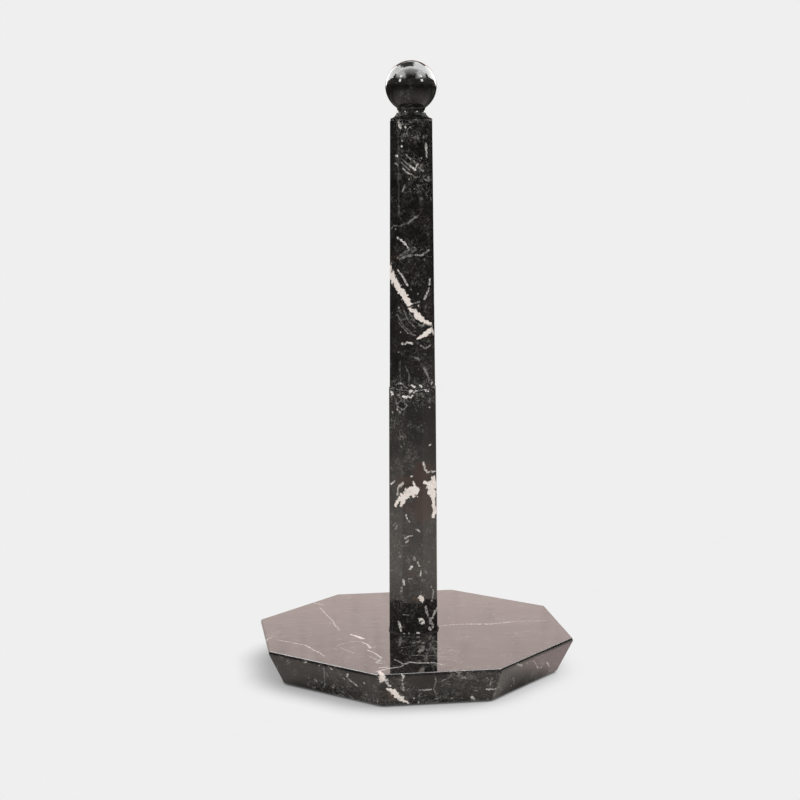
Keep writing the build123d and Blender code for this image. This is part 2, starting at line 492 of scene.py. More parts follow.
def make_floor(stage):
    """A wide pale floor that glows rather than being lit, with a painted contact shadow round the holder.
    Polished faces see a painted reflection of it, bright near the holder and dim further off.
    """
    reach = 40.0
    data = bpy.data.meshes.new("floor")
    corners = [(-reach, -reach, 0), (reach, -reach, 0), (reach, reach, 0), (-reach, reach, 0)]
    data.from_pydata(corners, [], [(0, 1, 2, 3)])
    floor = bpy.data.objects.new("floor", data)
    bpy.context.scene.collection.objects.link(floor)
    material, tree = new_material("pale_floor")
    # Painted reflection: polished faces see the floor's own glow. It fades with distance, is dimmer behind
    # the holder, brighter and pinker just to its right, and has painted shade right under the slab's edge.
    place = add(tree, "ShaderNodeTexCoord").outputs["Object"]
    away = vector_calc(tree, "LENGTH", place)
    falling = calc(tree, "POWER", times(tree, away, 1 / stage.floor_reach), 2.0)
    falling = calc(tree, "DIVIDE", stage.floor_gleam, plus(tree, falling, 1.0))
    axes = add(tree, "ShaderNodeSeparateXYZ", {"Vector": place}).outputs
    shaded = times(tree, falling, ramp(tree, away, 0.09, 0.28, 0.36, 1.0))
    shaded = times(tree, shaded, ramp(tree, axes["Y"], 0.05, 0.35, 1.0, 0.25))
    right_of = ramp(tree, axes["X"], 0.045, 0.075)
    beside = times(tree, right_of, ramp(tree, away, 0.13, 0.2, 1.0, 0.0))
    under_edge = ramp(tree, away, 0.066, 0.079, 0.1, 1.0)
    under_edge = calc(tree, "MAXIMUM", under_edge, times(tree, beside, 0.85))
    close_by = times(tree, beside, ramp(tree, away, 0.08, 0.12, 1.0, 0.0))
    gain = calc(tree, "MULTIPLY_ADD", beside, 0.42, calc(tree, "MULTIPLY_ADD", close_by, 0.3, 1.0))
    shaded = times(tree, times(tree, shaded, under_edge), gain)
    tint = blend(tree, beside, (1, 0.91, 0.83, 1), (1, 0.79, 0.77, 1))
    gleam = add(tree, "ShaderNodeEmission", {"Color": tint, "Strength": shaded})
    # Painted shadow: the glow the camera sees is dimmed where ambient occlusion finds the holder near. It
    # leans towards the light, so it reaches further on the left, and a short reach paints the darkest line
    # right under the slab's edges.
    towards_light = add(tree, "ShaderNodeCombineXYZ", {"X": 0.42, "Y": -0.1, "Z": 1.0}).outputs[0]
    open_inputs = {"Distance": stage.shadow_reach, "Normal": vector_calc(tree, "NORMALIZE", towards_light)}
    open_sky = add(tree, "ShaderNodeAmbientOcclusion", open_inputs, samples=12).outputs["AO"]
    lit = ramp(tree, open_sky, 0.15, 0.92, stage.shadow_depth, 1.0)
    crevice = add(tree, "ShaderNodeAmbientOcclusion", {"Distance": stage.crevice}, samples=12).outputs["AO"]
    lit = times(tree, lit, ramp(tree, crevice, 0.0, 0.6, 0.06, 1.0))
    plain = add(tree, "ShaderNodeEmission", {"Color": opaque(stage.pale), "Strength": lit})
    path = add(tree, "ShaderNodeLightPath")
    seen = add(tree, "ShaderNodeMixShader", {0: path.outputs["Is Glossy Ray"]})
    tree.links.new(plain.outputs[0], seen.inputs[1])
    tree.links.new(gleam.outputs[0], seen.inputs[2])
    output = tree.nodes.new("ShaderNodeOutputMaterial")
    tree.links.new(seen.outputs[0], output.inputs["Surface"])
    data.materials.append(material)


def glowing(name, points, strength, far_strength):
    """A flat light that only polished faces see, dimmer towards its far end."""
    data = bpy.data.meshes.new(name)
    data.from_pydata(points, [], [range(len(points))])
    made = bpy.data.objects.new(name, data)
    bpy.context.scene.collection.objects.link(made)
    for rays in ("camera", "diffuse", "transmission", "volume_scatter", "shadow"):
        setattr(made, "visible_" + rays, False)
    material, tree = new_material(name + "_glow")
    place = add(tree, "ShaderNodeTexCoord").outputs["Object"]
    ahead = add(tree, "ShaderNodeSeparateXYZ", {"Vector": place}).outputs["Y"]
    glow = ramp(tree, ahead, 0.0, 0.45, strength, far_strength)
    emission = add(tree, "ShaderNodeEmission", {"Strength": glow})
    output = tree.nodes.new("ShaderNodeOutputMaterial")
    tree.links.new(emission.outputs[0], output.inputs["Surface"])
    material.cycles.emission_sampling = "NONE"
    data.materials.append(material)


# Brightness of the softboxes near the holder and at their far ends, and of the lamps, against Softbox
PANEL_SHARE, PANEL_FAR_SHARE, LAMP_SHARE = 0.85, 0.36, 1.7
# Where each lamp stands, seen from the ball: how far aside and how high, of a distance of 1
LAMPS = {"lower": (0.735, 0.365), "upper": (0.64, 0.62)}
LAMP_SIZE = 0.10
LAMP_SIDES = 24


def make_lights(stage):
    """On each side, two lamps and a tall softbox whose cloth hangs lower the further ahead it is."""
    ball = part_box("ball_finial")[1].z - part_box("ball_finial")[1].x
    turn = Matrix.Rotation(-stage.camera_azimuth, 4, "Z")
    out, steps = stage.softbox_distance, 60
    for side, name in ((-1, "left"), (1, "right")):
        points = []
        for step in range(steps + 1):
            ahead = out * (0.14 + 2.2 * step / steps)
            drape = 0.10 * out * noise.noise(Vector((step * 0.22, side * 3.0, 0)))
            lower = max(0.50 * out - 0.28 * ahead, 0.09 * out) + drape
            points.append(turn @ Vector((side * out, ahead, ball + lower)))
        points.append(turn @ Vector((side * out, out * 2.34, ball + 1.5 * out)))
        points.append(turn @ Vector((side * out, out * 0.14, ball + 1.5 * out)))
        glowing("softbox_" + name, points, stage.softbox * PANEL_SHARE, stage.softbox * PANEL_FAR_SHARE)
        for lamp, (at_side, at_height) in LAMPS.items():
            behind = -math.sqrt(1 - at_side**2 - at_height**2)
            towards = Vector((side * at_side, behind, at_height))
            facing = towards.to_track_quat("Z", "Y").to_matrix().to_4x4()
            centre = Matrix.Translation(Vector((0, 0, ball)) + towards * out)
            turns = (i * 2 * math.pi / LAMP_SIDES for i in range(LAMP_SIDES))
            rim = [Vector((math.cos(t), math.sin(t), 0)) * LAMP_SIZE * out for t in turns]
            points = [turn @ centre @ facing @ spot for spot in rim]
            glowing(f"lamp_{name}_{lamp}", points, stage.softbox * LAMP_SHARE, stage.softbox * LAMP_SHARE)


def make_world(stage):
    """A pale backdrop and an even dome of light; polished faces see a studio with two softboxes."""
    world = bpy.data.worlds.new("studio")
    world.use_nodes = True
    world.cycles.sampling_method = "NONE"
    tree = world.node_tree
    tree.nodes.clear()
    look = add(tree, "ShaderNodeTexCoord").outputs["Generated"]
    turn = add(tree, "ShaderNodeMapping", {"Vector": look, "Rotation": (0, 0, stage.camera_azimuth)})
    axes = add(tree, "ShaderNodeSeparateXYZ", {"Vector": turn.outputs[0]}).outputs
    across, ahead, up = axes["X"], axes["Y"], axes["Z"]
    side = calc(tree, "ABSOLUTE", across)
    level = calc(tree, "SQRT", minus(tree, 1.0, times(tree, up, up)))
    level = calc(tree, "MAXIMUM", level, 0.001)
    ahead_share = calc(tree, "DIVIDE", ahead, level)
    # Backdrop: bright behind the holder, dim at the sides and behind the camera.
    wall = times(tree, ramp(tree, up, 0.07, 0.13), ramp(tree, up, 0.40, 0.48, 1.0, 0.0))
    wall = times(tree, wall, ramp(tree, ahead_share, 0.45, 0.9, 0.2, 1.0))
    squeezed = times(tree, across, 5.0)
    streaky = add(tree, "ShaderNodeCombineXYZ", {"X": squeezed, "Y": up}).outputs[0]
    tone = ramp(tree, grain(tree, streaky, 0.03, 3.0), 0.3, 0.7, 0.82, 1.12)
    wall = times(tree, times(tree, wall, tone), ramp(tree, up, 0.21, 0.34, 1.15, 0.95))
    dim = ramp(tree, up, 0.03, 0.2, 0.015, 0.07)
    unlit = add(tree, "ShaderNodeCombineXYZ", {"X": dim, "Y": dim, "Z": dim}).outputs[0]
    studio = blend(tree, wall, unlit, opaque(stage.wall))
    # Softboxes overhead, with edges as uneven as draped cloth
    uneven = calc(tree, "MULTIPLY_ADD", grain(tree, turn.outputs[0], 0.16, 3.0), 0.24, -0.12)
    height = plus(tree, up, uneven)
    spread = plus(tree, side, uneven)
    above_camera = times(tree, ramp(tree, height, 0.40, 0.72), ramp(tree, spread, 0.3, 0.5))
    above_camera = times(tree, above_camera, ramp(tree, ahead, -0.12, 0.0, 0.72, 0.0))
    above_holder = times(tree, ramp(tree, height, 0.58, 0.68), ramp(tree, ahead, -0.3, 0.05))
    # A dark gap in the overhead, where its boom stands
    aside = calc(tree, "MULTIPLY_ADD", uneven, 1.6, calc(tree, "ABSOLUTE", plus(tree, across, 0.14)))
    beyond = calc(tree, "ABSOLUTE", minus(tree, ahead, 0.42))
    narrow = ramp(tree, aside, 0.20, 0.32, 1.0, 0.0)
    gap = times(tree, narrow, ramp(tree, beyond, 0.26, 0.38, 1.0, 0.0))
    above_holder = times(tree, above_holder, calc(tree, "MULTIPLY_ADD", gap, -0.97, 1.0))
    overhead = calc(tree, "MAXIMUM", above_camera, above_holder)
    ceiling = times(tree, ramp(tree, ahead, -0.75, -0.25), ramp(tree, ahead, -0.1, 0.12, 1.0, 0.0))
    ceiling = times(tree, ceiling, ramp(tree, height, 0.3, 0.45))
    ceiling = times(tree, ceiling, ramp(tree, spread, 0.3, 0.55, 1.0, 0.0))
    studio = blend(tree, times(tree, ceiling, 0.42), studio, opaque([stage.softbox] * 3))
    strength = times(tree, ramp(tree, ahead, -0.3, 0.75, 1.25, 0.36), stage.softbox)
    bright = add(tree, "ShaderNodeCombineXYZ", {"X": strength, "Y": strength, "Z": strength}).outputs[0]
    studio = blend(tree, overhead, studio, bright)
    path = add(tree, "ShaderNodeLightPath")
    soft = blend(tree, path.outputs["Is Camera Ray"], (1, 1, 1, 1), opaque(stage.pale))
    shown = blend(tree, path.outputs["Is Glossy Ray"], soft, studio)
    back = add(tree, "ShaderNodeBackground", {"Color": shown})
    output = tree.nodes.new("ShaderNodeOutputWorld")
    tree.links.new(back.outputs[0], output.inputs["Surface"])
    bpy.context.scene.world = world


# ---- Marble -------------------------------------------------------------------------------------------

Vein = namedtuple("Vein", "tint wide strength points")


def vein(tint, wide, *points, strength=1.0):
    """One vein or fleck, in millimetres: its tint, its width at each end and the points it runs through."""
    ends = wide if isinstance(wide, tuple) else (wide, wide)
    return Vein(tint, ends, strength, points if len(points) > 1 else points * 2)


# A post's veins are thin sheets through the stone, so they are drawn across and up its front, (across, up),
# measured from the post's axis and from the floor.
UPPER_POST_VEINS = (
    # Where wisps are thick
    vein("web", (9, 8), (-3, 271), (3, 267), strength=0.8),
    vein("web", (9, 11), (-3, 257), (4, 251), (7, 246), strength=0.75),
    vein("web", (5, 6), (-1, 243), (6, 238), strength=0.45),
    vein("web", (5, 6), (-4, 225), (4, 229), (7, 222), strength=0.4),
    vein("web", (6, 9), (-5, 214), (6, 210), strength=0.55),
    vein("web", (9, 10), (-5, 181), (0, 173), (5, 168), strength=0.55),
    vein("web", (6, 5), (2, 163), (8, 155), (9, 148), strength=0.7),
    vein("web", 8, (-8, 145.5), (8, 145), strength=0.9),
    # The broad cream vein and its branches
    vein("cream", (1.0, 1.3), (-10.5, 209.5), (-10.2, 205), (-10.1, 202.5)),
    vein("cream", (1.8, 3.0), (-9.7, 201), (-7.9, 195.7), (-5.4, 192)),
    vein("cream", (3.1, 2.9), (-5.4, 192), (-2.9, 188.3), (-1.2, 185.8)),
    vein("cream", (1.2, 2.8), (-1.6, 183.8), (0.8, 182.2), (3.4, 179.3)),
    vein("cream", (2.8, 0.9), (3.4, 179.3), (6.4, 176.8), (10.2, 175.5)),
    vein("cream", (2.3, 2.3), (11.5, 173.6), (8.6, 171.9), (6.4, 170.4)),
    vein("cream", (2.3, 0.7), (6.4, 170.4), (4.4, 169.3), (2.6, 168.5)),
    vein("white", (0.5, 0.9), (3.9, 175.2), (7.2, 175.3), (10, 174.6), strength=0.35),
    vein("dark", (0.8, 0.5), (-3.2, 183.6), (-0.4, 185), (1.6, 185.8)),
    vein("white", (0.5, 0.9), (0.6, 185.9), (3.6, 186.7), strength=0.35),
    vein("white", 0.9, (3.0, 184.9), strength=0.7),
    vein("stain", 0.9, (-7.3, 194.5), (-6.6, 193.3)),
    vein("stain", (1.2, 0.8), (8.0, 170.7), (7.8, 169.0), strength=0.7),
    vein("stain", 3.4, (-9.4, 209.8), (-7.6, 208), strength=0.25),
    vein("white", (0.55, 0.8), (-7.1, 202.6), (-4.3, 199.4), (-2.2, 194.8), strength=0.75),
    vein("white", (0.6, 0.7), (8.9, 198), (8.6, 195), strength=0.6),
    vein("white", (0.8, 1.2), (8.4, 193.4), (7.4, 190.5), (6.2, 188), strength=0.6),
    vein("white", 0.7, (3.1, 190.9), strength=0.6),
    vein("white", 1.2, (-0.4, 193), strength=0.16),
    vein("white", 0.8, (-6.5, 183.9), strength=0.4),
    # The crown of the piece: flecks and a white streak
    vein("white", (1.0, 1.2), (-6, 274.2), (-5.1, 271.5), strength=0.7),
    vein("white", 0.9, (-2.7, 271.6), strength=0.8),
    vein("white", (0.5, 0.6), (-2.4, 268.6), (-1.5, 270.8), (-0.2, 272), strength=0.32),
    vein("white", 0.8, (-4.4, 265.1), strength=0.85),
    vein("white", 1.0, (-4.8, 262.4), strength=0.85),
    vein("white", 1.0, (-7.1, 258), strength=0.95),
    vein("white", (0.6, 1.0), (7.3, 264), (7.3, 260.5), strength=0.65),
    vein("white", (1.0, 0.4), (7.3, 260.5), (7.6, 257), strength=0.65),
    vein("white", 0.9, (4.9, 256.8), strength=0.45),
    # A sheaf of fine grey lines under them
    vein("white", (0.4, 0.5), (-4.8, 256.5), (-2, 254), (0.9, 252), strength=0.30),
    vein("white", (0.5, 0.6), (-2.8, 258.6), (-0.4, 256.4), (3.2, 254), strength=0.34),
    vein("white", (0.4, 0.5), (-5.4, 255.2), (-0.9, 251.2), strength=0.26),
    vein("white", (0.6, 1.1), (-0.6, 253), (1.8, 251.4), strength=0.85),
    vein("white", 0.7, (2.5, 253.4), (1.7, 251.6), strength=0.6),
    vein("white", (0.8, 0.5), (-3.9, 251.8), (-2.2, 249.9), (0, 249), strength=0.55),
    vein("white", 0.5, (0, 249), (2.3, 247.5), strength=0.35),
    vein("white", (0.6, 0.5), (-7.8, 254.3), (-6.4, 253.2), strength=0.5),
    vein("white", 0.5, (3.6, 252.1), (6.2, 250.1), strength=0.35),
    vein("white", 0.9, (-1.1, 246.4), strength=0.28),
    vein("white", (0.7, 0.5), (-3.2, 243.8), (-4.5, 240.8), strength=0.3),
    vein("white", (1.1, 0.9), (8.5, 247.6), (8.6, 245.8), strength=0.2),
    vein("white", 0.9, (9.9, 238.2), strength=0.65),
    vein("white", 0.7, (-6.3, 233.6), strength=0.3),
    vein("white", (0.6, 0.8), (-9.5, 224), (-5.6, 223.9), (-1.8, 225.6), strength=0.16),
    vein("white", (0.7, 1.0), (-1.8, 225.6), (2.2, 228.3), strength=0.3),
    vein("white", 0.8, (-7.8, 222.5), strength=0.5),
    vein("white", (0.7, 0.8), (-7, 218.2), (-5, 216.9), (-3, 215), strength=0.9),
    vein("white", (0.8, 0.3), (-3, 215), (-1.4, 212.6), strength=0.7),
    vein("white", (0.8, 0.6), (-6.9, 208.4), (-4.4, 210.5), (-0.3, 212.8), strength=0.2),
    vein("white", (0.9, 0.6), (-5.8, 208.1), (-2, 209.1), (1.8, 209.8), strength=0.26),
    vein("white", (0.5, 0.9), (1.8, 209.8), (4.8, 209.4), (8.3, 211.8), strength=0.42),
    # Curved grey hatching above the joint
    vein("white", 0.45, (-3.8, 182.3), (-1.7, 177), (1.6, 173.9), strength=0.22),
    vein("white", 0.45, (-6.4, 176.2), (-2.2, 171.4), (2, 170), strength=0.22),
    vein("white", 0.45, (-1.4, 181.4), (1.5, 177), (4.9, 174.4), strength=0.22),
    vein("white", 0.45, (-7.4, 180.6), (-4.4, 175), (0, 171.2), strength=0.16),
    vein("white", 0.9, (-5.8, 171.8), strength=0.5),
    vein("white", (1.0, 1.0), (-4.9, 165.9), (-2.4, 166.5), (-0.1, 166), strength=0.9),
    vein("white", 0.6, (4.2, 165.3), (6.4, 163.4), (9, 165), strength=0.3),
    vein("white", 0.8, (-6.8, 161.8), strength=0.4),
    vein("web", (2.5, 4.5), (-4, 161.2), (1.3, 159.6), (5.4, 155.6), strength=0.75),
    vein("web", (4.5, 3.5), (5.4, 155.6), (7.6, 151), (8.2, 147.8), strength=0.8),
    vein("white", (0.8, 1.2), (1.3, 159.3), (3.2, 158), strength=0.28),
    vein("white", (1.2, 0.7), (5.9, 154.2), (7.0, 151.5), (8.3, 147.8), strength=0.26),
    vein("white", 0.7, (-6.1, 157), (-6, 146), strength=0.10),
    vein("white", (0.5, 0.9), (-3.2, 154.6), (-1.8, 151.3), (-1.6, 147.6), strength=0.14),
    # Painted highlight: a faint pale line down the left arris, where the arris catches light.
    vein("white", 0.9, (-6.4, 270), (-6.2, 229), strength=0.05),
    vein("white", 0.8, (-10.7, 157.5), strength=0.7),
    vein("white", (0.7, 1.1), (-0.7, 145.4), (0.8, 144.3), strength=1.2),
    vein("white", (1.0, 0.8), (3.7, 145.1), (4.5, 144.3), strength=1.3),
    vein("white", 0.9, (-5.9, 146.1), strength=0.6),
    vein("white", (0.6, 0.4), (-8.2, 145.4), (-5.9, 146.4), (-2.9, 143.8), strength=0.3),
    vein("white", 0.7, (-5.8, 144.1), strength=0.5),
    vein("white", (0.7, 0.6), (9.4, 145.4), (10.4, 146.4), strength=0.7),
)
LOWER_POST_VEINS = (
    # Specks along the foot of the post
    vein("white", 0.7, (-2.4, 19.2), strength=0.9),
    vein("white", 0.6, (-4.9, 19.0), strength=0.7),
    vein("white", (0.7, 0.9), (1.6, 19.3), (2.6, 19.1), strength=1.1),
    vein("white", 0.5, (0.1, 18.9), strength=0.6),
    # Where wisps are thick
    vein("web", 9, (-9, 140), (9, 139), strength=0.95),
    vein("web", (8, 9), (-8, 130), (-4, 116), (-2, 108), strength=0.6),
    vein("web", (5, 5), (-2, 126), (5, 124), strength=0.5),
    vein("web", (7, 10), (-9, 68), (-8, 50), (-7, 32), strength=0.5),
    vein("web", (9, 10), (-2, 58), (3, 50), (2, 40), strength=0.6),
    vein("web", (10, 10), (0, 33), (6, 27), (4, 22), strength=0.3),
    # Flecks under the joint
    vein("white", (1.1, 0.9), (-1.2, 142.2), (-0.4, 142.8), strength=1.2),
    vein("white", (1.0, 0.8), (0.9, 142.0), (1.6, 142.6), strength=0.9),
    vein("white", (0.8, 0.7), (6.2, 143), (7.6, 142.2), strength=1.1),
    vein("white", (0.8, 1.1), (-11.0, 142.0), (-10.2, 140.4), strength=1.2),
    vein("white", 1.1, (-7.2, 140.5), strength=0.4),
    vein("white", (1.0, 1.2), (-4.8, 139.8), (-3.2, 139.5), strength=1.2),
    vein("white", (0.8, 1.2), (-2.4, 140.2), (-0.9, 139.4), (-0.2, 140.2), strength=1.1),
    vein("white", 0.7, (5.3, 139.7), strength=0.35),
    vein("white", 0.8, (8.6, 134), strength=0.7),
    vein("white", 0.5, (3.2, 134.9), strength=0.4),
    vein("white", 0.8, (-6.8, 132.5), (-6, 131.8), strength=0.3),
    vein("white", 0.8, (-10, 131.2), strength=0.5),
    vein("white", (3.9, 4.3), (-6.1, 135.6), (-5.2, 135.4), strength=0.28),
    vein("dark", (2.6, 3.0), (-6.0, 135.6), (-5.2, 135.4)),
    vein("cream", 0.9, (-7.6, 132.9), strength=0.8),
    vein("white", 0.9, (8.7, 114.8), strength=0.75),
    vein("white", 0.6, (-3.4, 102.9), strength=0.45),
    vein("white", 0.9, (-0.6, 99.6), strength=0.8),
    vein("white", (0.7, 0.8), (-11, 94.8), (-9.2, 96.5), strength=0.75),
    # A white curl over two cream patches, in a brown stain
    vein("stain", (9, 8), (5, 102), (5.6, 92), (5, 80), strength=0.75),
    vein("stain", (6, 5), (-6, 96), (2, 97), strength=0.6),
    vein("stain", 4, (-4, 85), (0, 82), strength=0.35),
    vein("white", (0.9, 0.7), (5.2, 106.4), (5.6, 103.6), strength=0.75),
    vein("white", (0.7, 0.8), (5.6, 103.6), (7.1, 101.3), (11, 101), strength=0.7),
    vein("cream", (0.9, 1.2), (-7.3, 93.6), (-5, 96), strength=0.6),
    vein("cream", (0.8, 0.7), (-7.3, 93.6), (-7.8, 89.8), strength=0.55),
    vein("cream", (3.0, 5.4), (-5.6, 89.2), (-2.2, 91.6), (0.2, 92.2)),
    vein("cream", (4.6, 1.0), (0.2, 92.2), (2.9, 92.9)),
    vein("cream", (0.9, 1.4), (0.2, 96.9), (1.2, 94.2)),
    vein("cream", (2.8, 1.2), (-4.6, 89), (-6.3, 84.8)),
    vein("cream", (2.0, 1.2), (-6.2, 89), (-8.8, 83.9)),
    vein("dark", 0.9, (-4.4, 94.6), (-1.2, 95.8)),
    vein("dark", 0.8, (-6.7, 92.2), (-5.4, 91.3)),
    vein("dark", 0.6, (-6.9, 89.9), (-6.3, 89.2)),
    vein("dark", (0.6, 0.9), (-6.7, 86.2), (-7.5, 83.6)),
    vein("cream", (1.4, 1.2), (6, 96.4), (7.4, 95.2)),
    vein("cream", (1.8, 4.4), (10.4, 98.2), (9.6, 94.9)),
    vein("cream", (4.6, 2.8), (9.6, 94.9), (9.2, 91.3), (10.2, 88.6)),
    vein("cream", (1.6, 1.3), (10.4, 88.6), (10.4, 84.2), (11.2, 80.8)),
    vein("cream", (2.0, 1.6), (11.2, 80.8), (10, 78)),
    vein("dark", 1.0, (7.6, 97.6), (8.6, 97.2)),
    # Small curls and flecks down to the dark foot
    vein("white", (1.1, 0.7), (-3.6, 80), (-3, 77.9), strength=0.9),
    vein("white", (0.6, 0.5), (-3, 77.9), (-1.4, 76.3), strength=0.4),
    vein("white", 0.8, (1.6, 72.6), (3.3, 71.6), strength=0.55),
    vein("white", (0.8, 0.6), (-4.1, 67.8), (-2.5, 69.1), (-0.5, 69.4), strength=0.65),
    vein("white", 0.6, (-3.5, 65.8), (-2.4, 67.3), strength=0.55),
    vein("stain", 2.4, (-2.4, 67), (-0.5, 64), strength=0.4),
    vein("white", 0.7, (-9.8, 73.5), (-8.8, 75.3), strength=0.2),
    vein("white", 0.7, (-7.8, 74), (-9.1, 72), strength=0.2),
    vein("white", 0.9, (-6.7, 58.3), strength=0.6),
    vein("white", 0.6, (4.5, 64.7), strength=0.5),
    vein("white", 0.7, (-8.1, 64), strength=0.3),
    vein("white", (0.9, 1.0), (-1.8, 52.5), (-0.6, 53.7), strength=0.95),
    vein("white", (1.0, 0.7), (2.2, 55.7), (3, 54.2), strength=0.7),
    vein("white", 1.4, (0.5, 58.2), (0.7, 57), strength=0.25),
    vein("white", (0.7, 1.1), (4.1, 51.2), (3.7, 49), strength=0.9),
    vein("white", 0.7, (6.5, 50.2), strength=0.4),
    vein("white", 0.6, (7.9, 55.4), strength=0.25),
    vein("stain", 2.6, (-2.5, 50.5), (0.5, 50), strength=0.45),
    vein("white", (0.8, 1.1), (-5.2, 47.2), (-4.8, 44.5), strength=0.85),
    vein("white", 0.7, (-5.9, 42.8), (-6.5, 40.6), strength=0.45),
    vein("white", (0.8, 0.5), (-2.6, 47.3), (-1, 47.4), strength=0.28),
    vein("white", 0.8, (8.8, 42.3), strength=0.75),
    vein("white", (0.6, 0.8), (9.9, 40.4), (10.1, 37.6), (9.3, 35), strength=0.5),
    vein("cream", 2.7, (3.5, 37.5), (3.9, 36.8)),
    vein("rust", 1.5, (0.6, 37.2), (1.8, 36.2), strength=0.7),
    vein("rust", 0.8, (-1.4, 36.2), strength=0.6),
    vein("rust", 0.9, (5.7, 36.2), strength=0.6),
    vein("white", (1.2, 0.9), (6.3, 32.4), (7.2, 27.5), strength=0.5),
    vein("white", (1.3, 1.3), (8.5, 26.2), (8.8, 23.5), strength=0.42),
    vein("white", 1.3, (7.8, 20.9), (8.2, 20.3), strength=0.6),
    vein("white", 1.0, (9.5, 22.6), (9.8, 21.2), strength=0.6),
    vein("white", (0.9, 0.7), (12, 30.6), (10.5, 28.3), (9.8, 25.8), strength=0.6),
    vein("white", 2.4, (3.6, 26), (3.9, 25)),
    vein("dark", 0.8, (3.2, 24.8), (3.6, 25.3)),
    vein("white", (0.9, 1.2), (-7.6, 24.8), (-6.8, 22.2), strength=0.85),
    vein("white", (1.2, 0.8), (-6.8, 22.2), (-6.4, 20.2), strength=0.9),
    vein("white", 0.45, (-5.5, 29.1), (-2, 28.7), strength=0.3),
)
# The veins in the slab's top also run straight down into it: (x, y).
SLAB_TOP_VEINS = (
    vein("web", (22, 26), (2, -24), (2, -56), strength=1.0),
    vein("web", (10, 22), (-34, -8), (-26, -36), (-24, -60), strength=0.4),
    vein("white", (0.9, 0.7), (-45.2, 59.4), (-41.2, 54.6), strength=0.55),
    vein("white", (0.5, 0.8), (-43.4, 49), (-41.6, 37), (-39.6, 22.5), strength=0.5),
    vein("white", (0.8, 0.9), (-39.6, 22.5), (-39.2, 14), (-37.8, 3.5), strength=0.5),
    vein("cream", (1.1, 2.0), (-33, -5.6), (-30.6, -9.5), (-28.2, -13.9), strength=0.9),
    vein("white", (0.8, 1.3), (-29.2, -21), (-27, -25.4), (-26.4, -31.2), strength=0.8),
    vein("white", (1.0, 0.6), (-26.4, -31.2), (-24, -29.8), strength=0.6),
    vein("white", (0.8, 1.0), (-28.2, -34.6), (-25.2, -41.8), (-23.3, -48.6), strength=0.75),
    vein("white", (0.7, 0.8), (-23.6, -50), (-26.8, -57), (-24.6, -58.2), strength=0.6),
    vein("white", (0.6, 0.5), (-28.5, -46), (-25, -54), (-21.5, -58), strength=0.4),
    vein("white", 0.9, (-26.2, -65), (-22.4, -64.6), strength=0.7),
    vein("cream", (1.6, 2.4), (-27.2, -70.5), (-26.8, -76), strength=0.8),
    vein("white", (0.5, 0.8), (-70.8, -9.2), (-63.6, -15.6), (-57.7, -21.4), strength=0.7),
    vein("white", (0.8, 0.7), (-57.7, -21.4), (-54.7, -28.5), (-50, -41.6), strength=0.75),
    vein("white", 0.7, (-76.2, -9.4), (-75.4, -7.4), (-72.6, -4.2), strength=0.6),
    vein("white", 0.5, (-41.4, -26.9), (-38.8, -33), (-35.2, -39.5), strength=0.4),
    vein("white", 0.5, (-42.4, -25), (-37.3, -20), (-31.8, -18), strength=0.35),
    vein("white", 0.5, (-31.8, -18), (-29.2, -20.6), strength=0.35),
    vein("white", (0.7, 1.0), (14, 2.4), (20.4, 4), (30.4, 3.5), strength=0.5),
    vein("white", (1.1, 1.0), (30.4, 3.5), (40.8, 1.9), (52, 4), strength=0.75),
    vein("white", (0.6, 0.5), (52, 4), (59.3, 4.2), (70.4, 3.7), strength=0.4),
    vein("white", 0.9, (45.9, 20.2), strength=0.4),
    vein("white", 0.9, (44.2, -34.5), strength=0.4),
    vein("white", (0.6, 1.0), (-17.2, -52.8), (-14.4, -61.2), (-11.2, -58.6), strength=0.6),
    vein("white", (1.2, 1.3), (-11.2, -58.6), (-6.2, -60.4), (0.2, -61.4), strength=0.95),
    vein("white", (1.0, 0.4), (0.2, -61.4), (5, -65.8), strength=0.5),
    vein("white", (0.8, 1.2), (-28.4, -70.6), (-22.2, -67), (-16.8, -65.4), strength=0.8),
    vein("white", (1.0, 0.6), (-16.8, -65.4), (-12, -60.2), strength=0.6),
    vein("white", 0.8, (-7.7, -47.4), (-3.4, -48.2), strength=0.5),
    # Finer wisps across the front
    vein("web", (11, 14), (-6, -22), (6, -30), (0, -44), strength=1.2),
    vein("web", (6, 8), (-9, -50), (8, -52), strength=0.8),
    vein("white", (0.5, 0.9), (-11, -33.5), (-4, -31), strength=0.2),
    vein("white", (0.9, 0.5), (-2, -37.5), (6, -39.5), strength=0.25),
    vein("white", (1.1, 0.4), (1, -49), (9, -52.5), strength=0.25),
    # Behind the post
    vein("cream", (1.4, 2.2), (8, 76), (10, 64), (7, 52), strength=0.8),
    vein("white", (1.0, 0.5), (7, 52), (5, 36), strength=0.5),
)
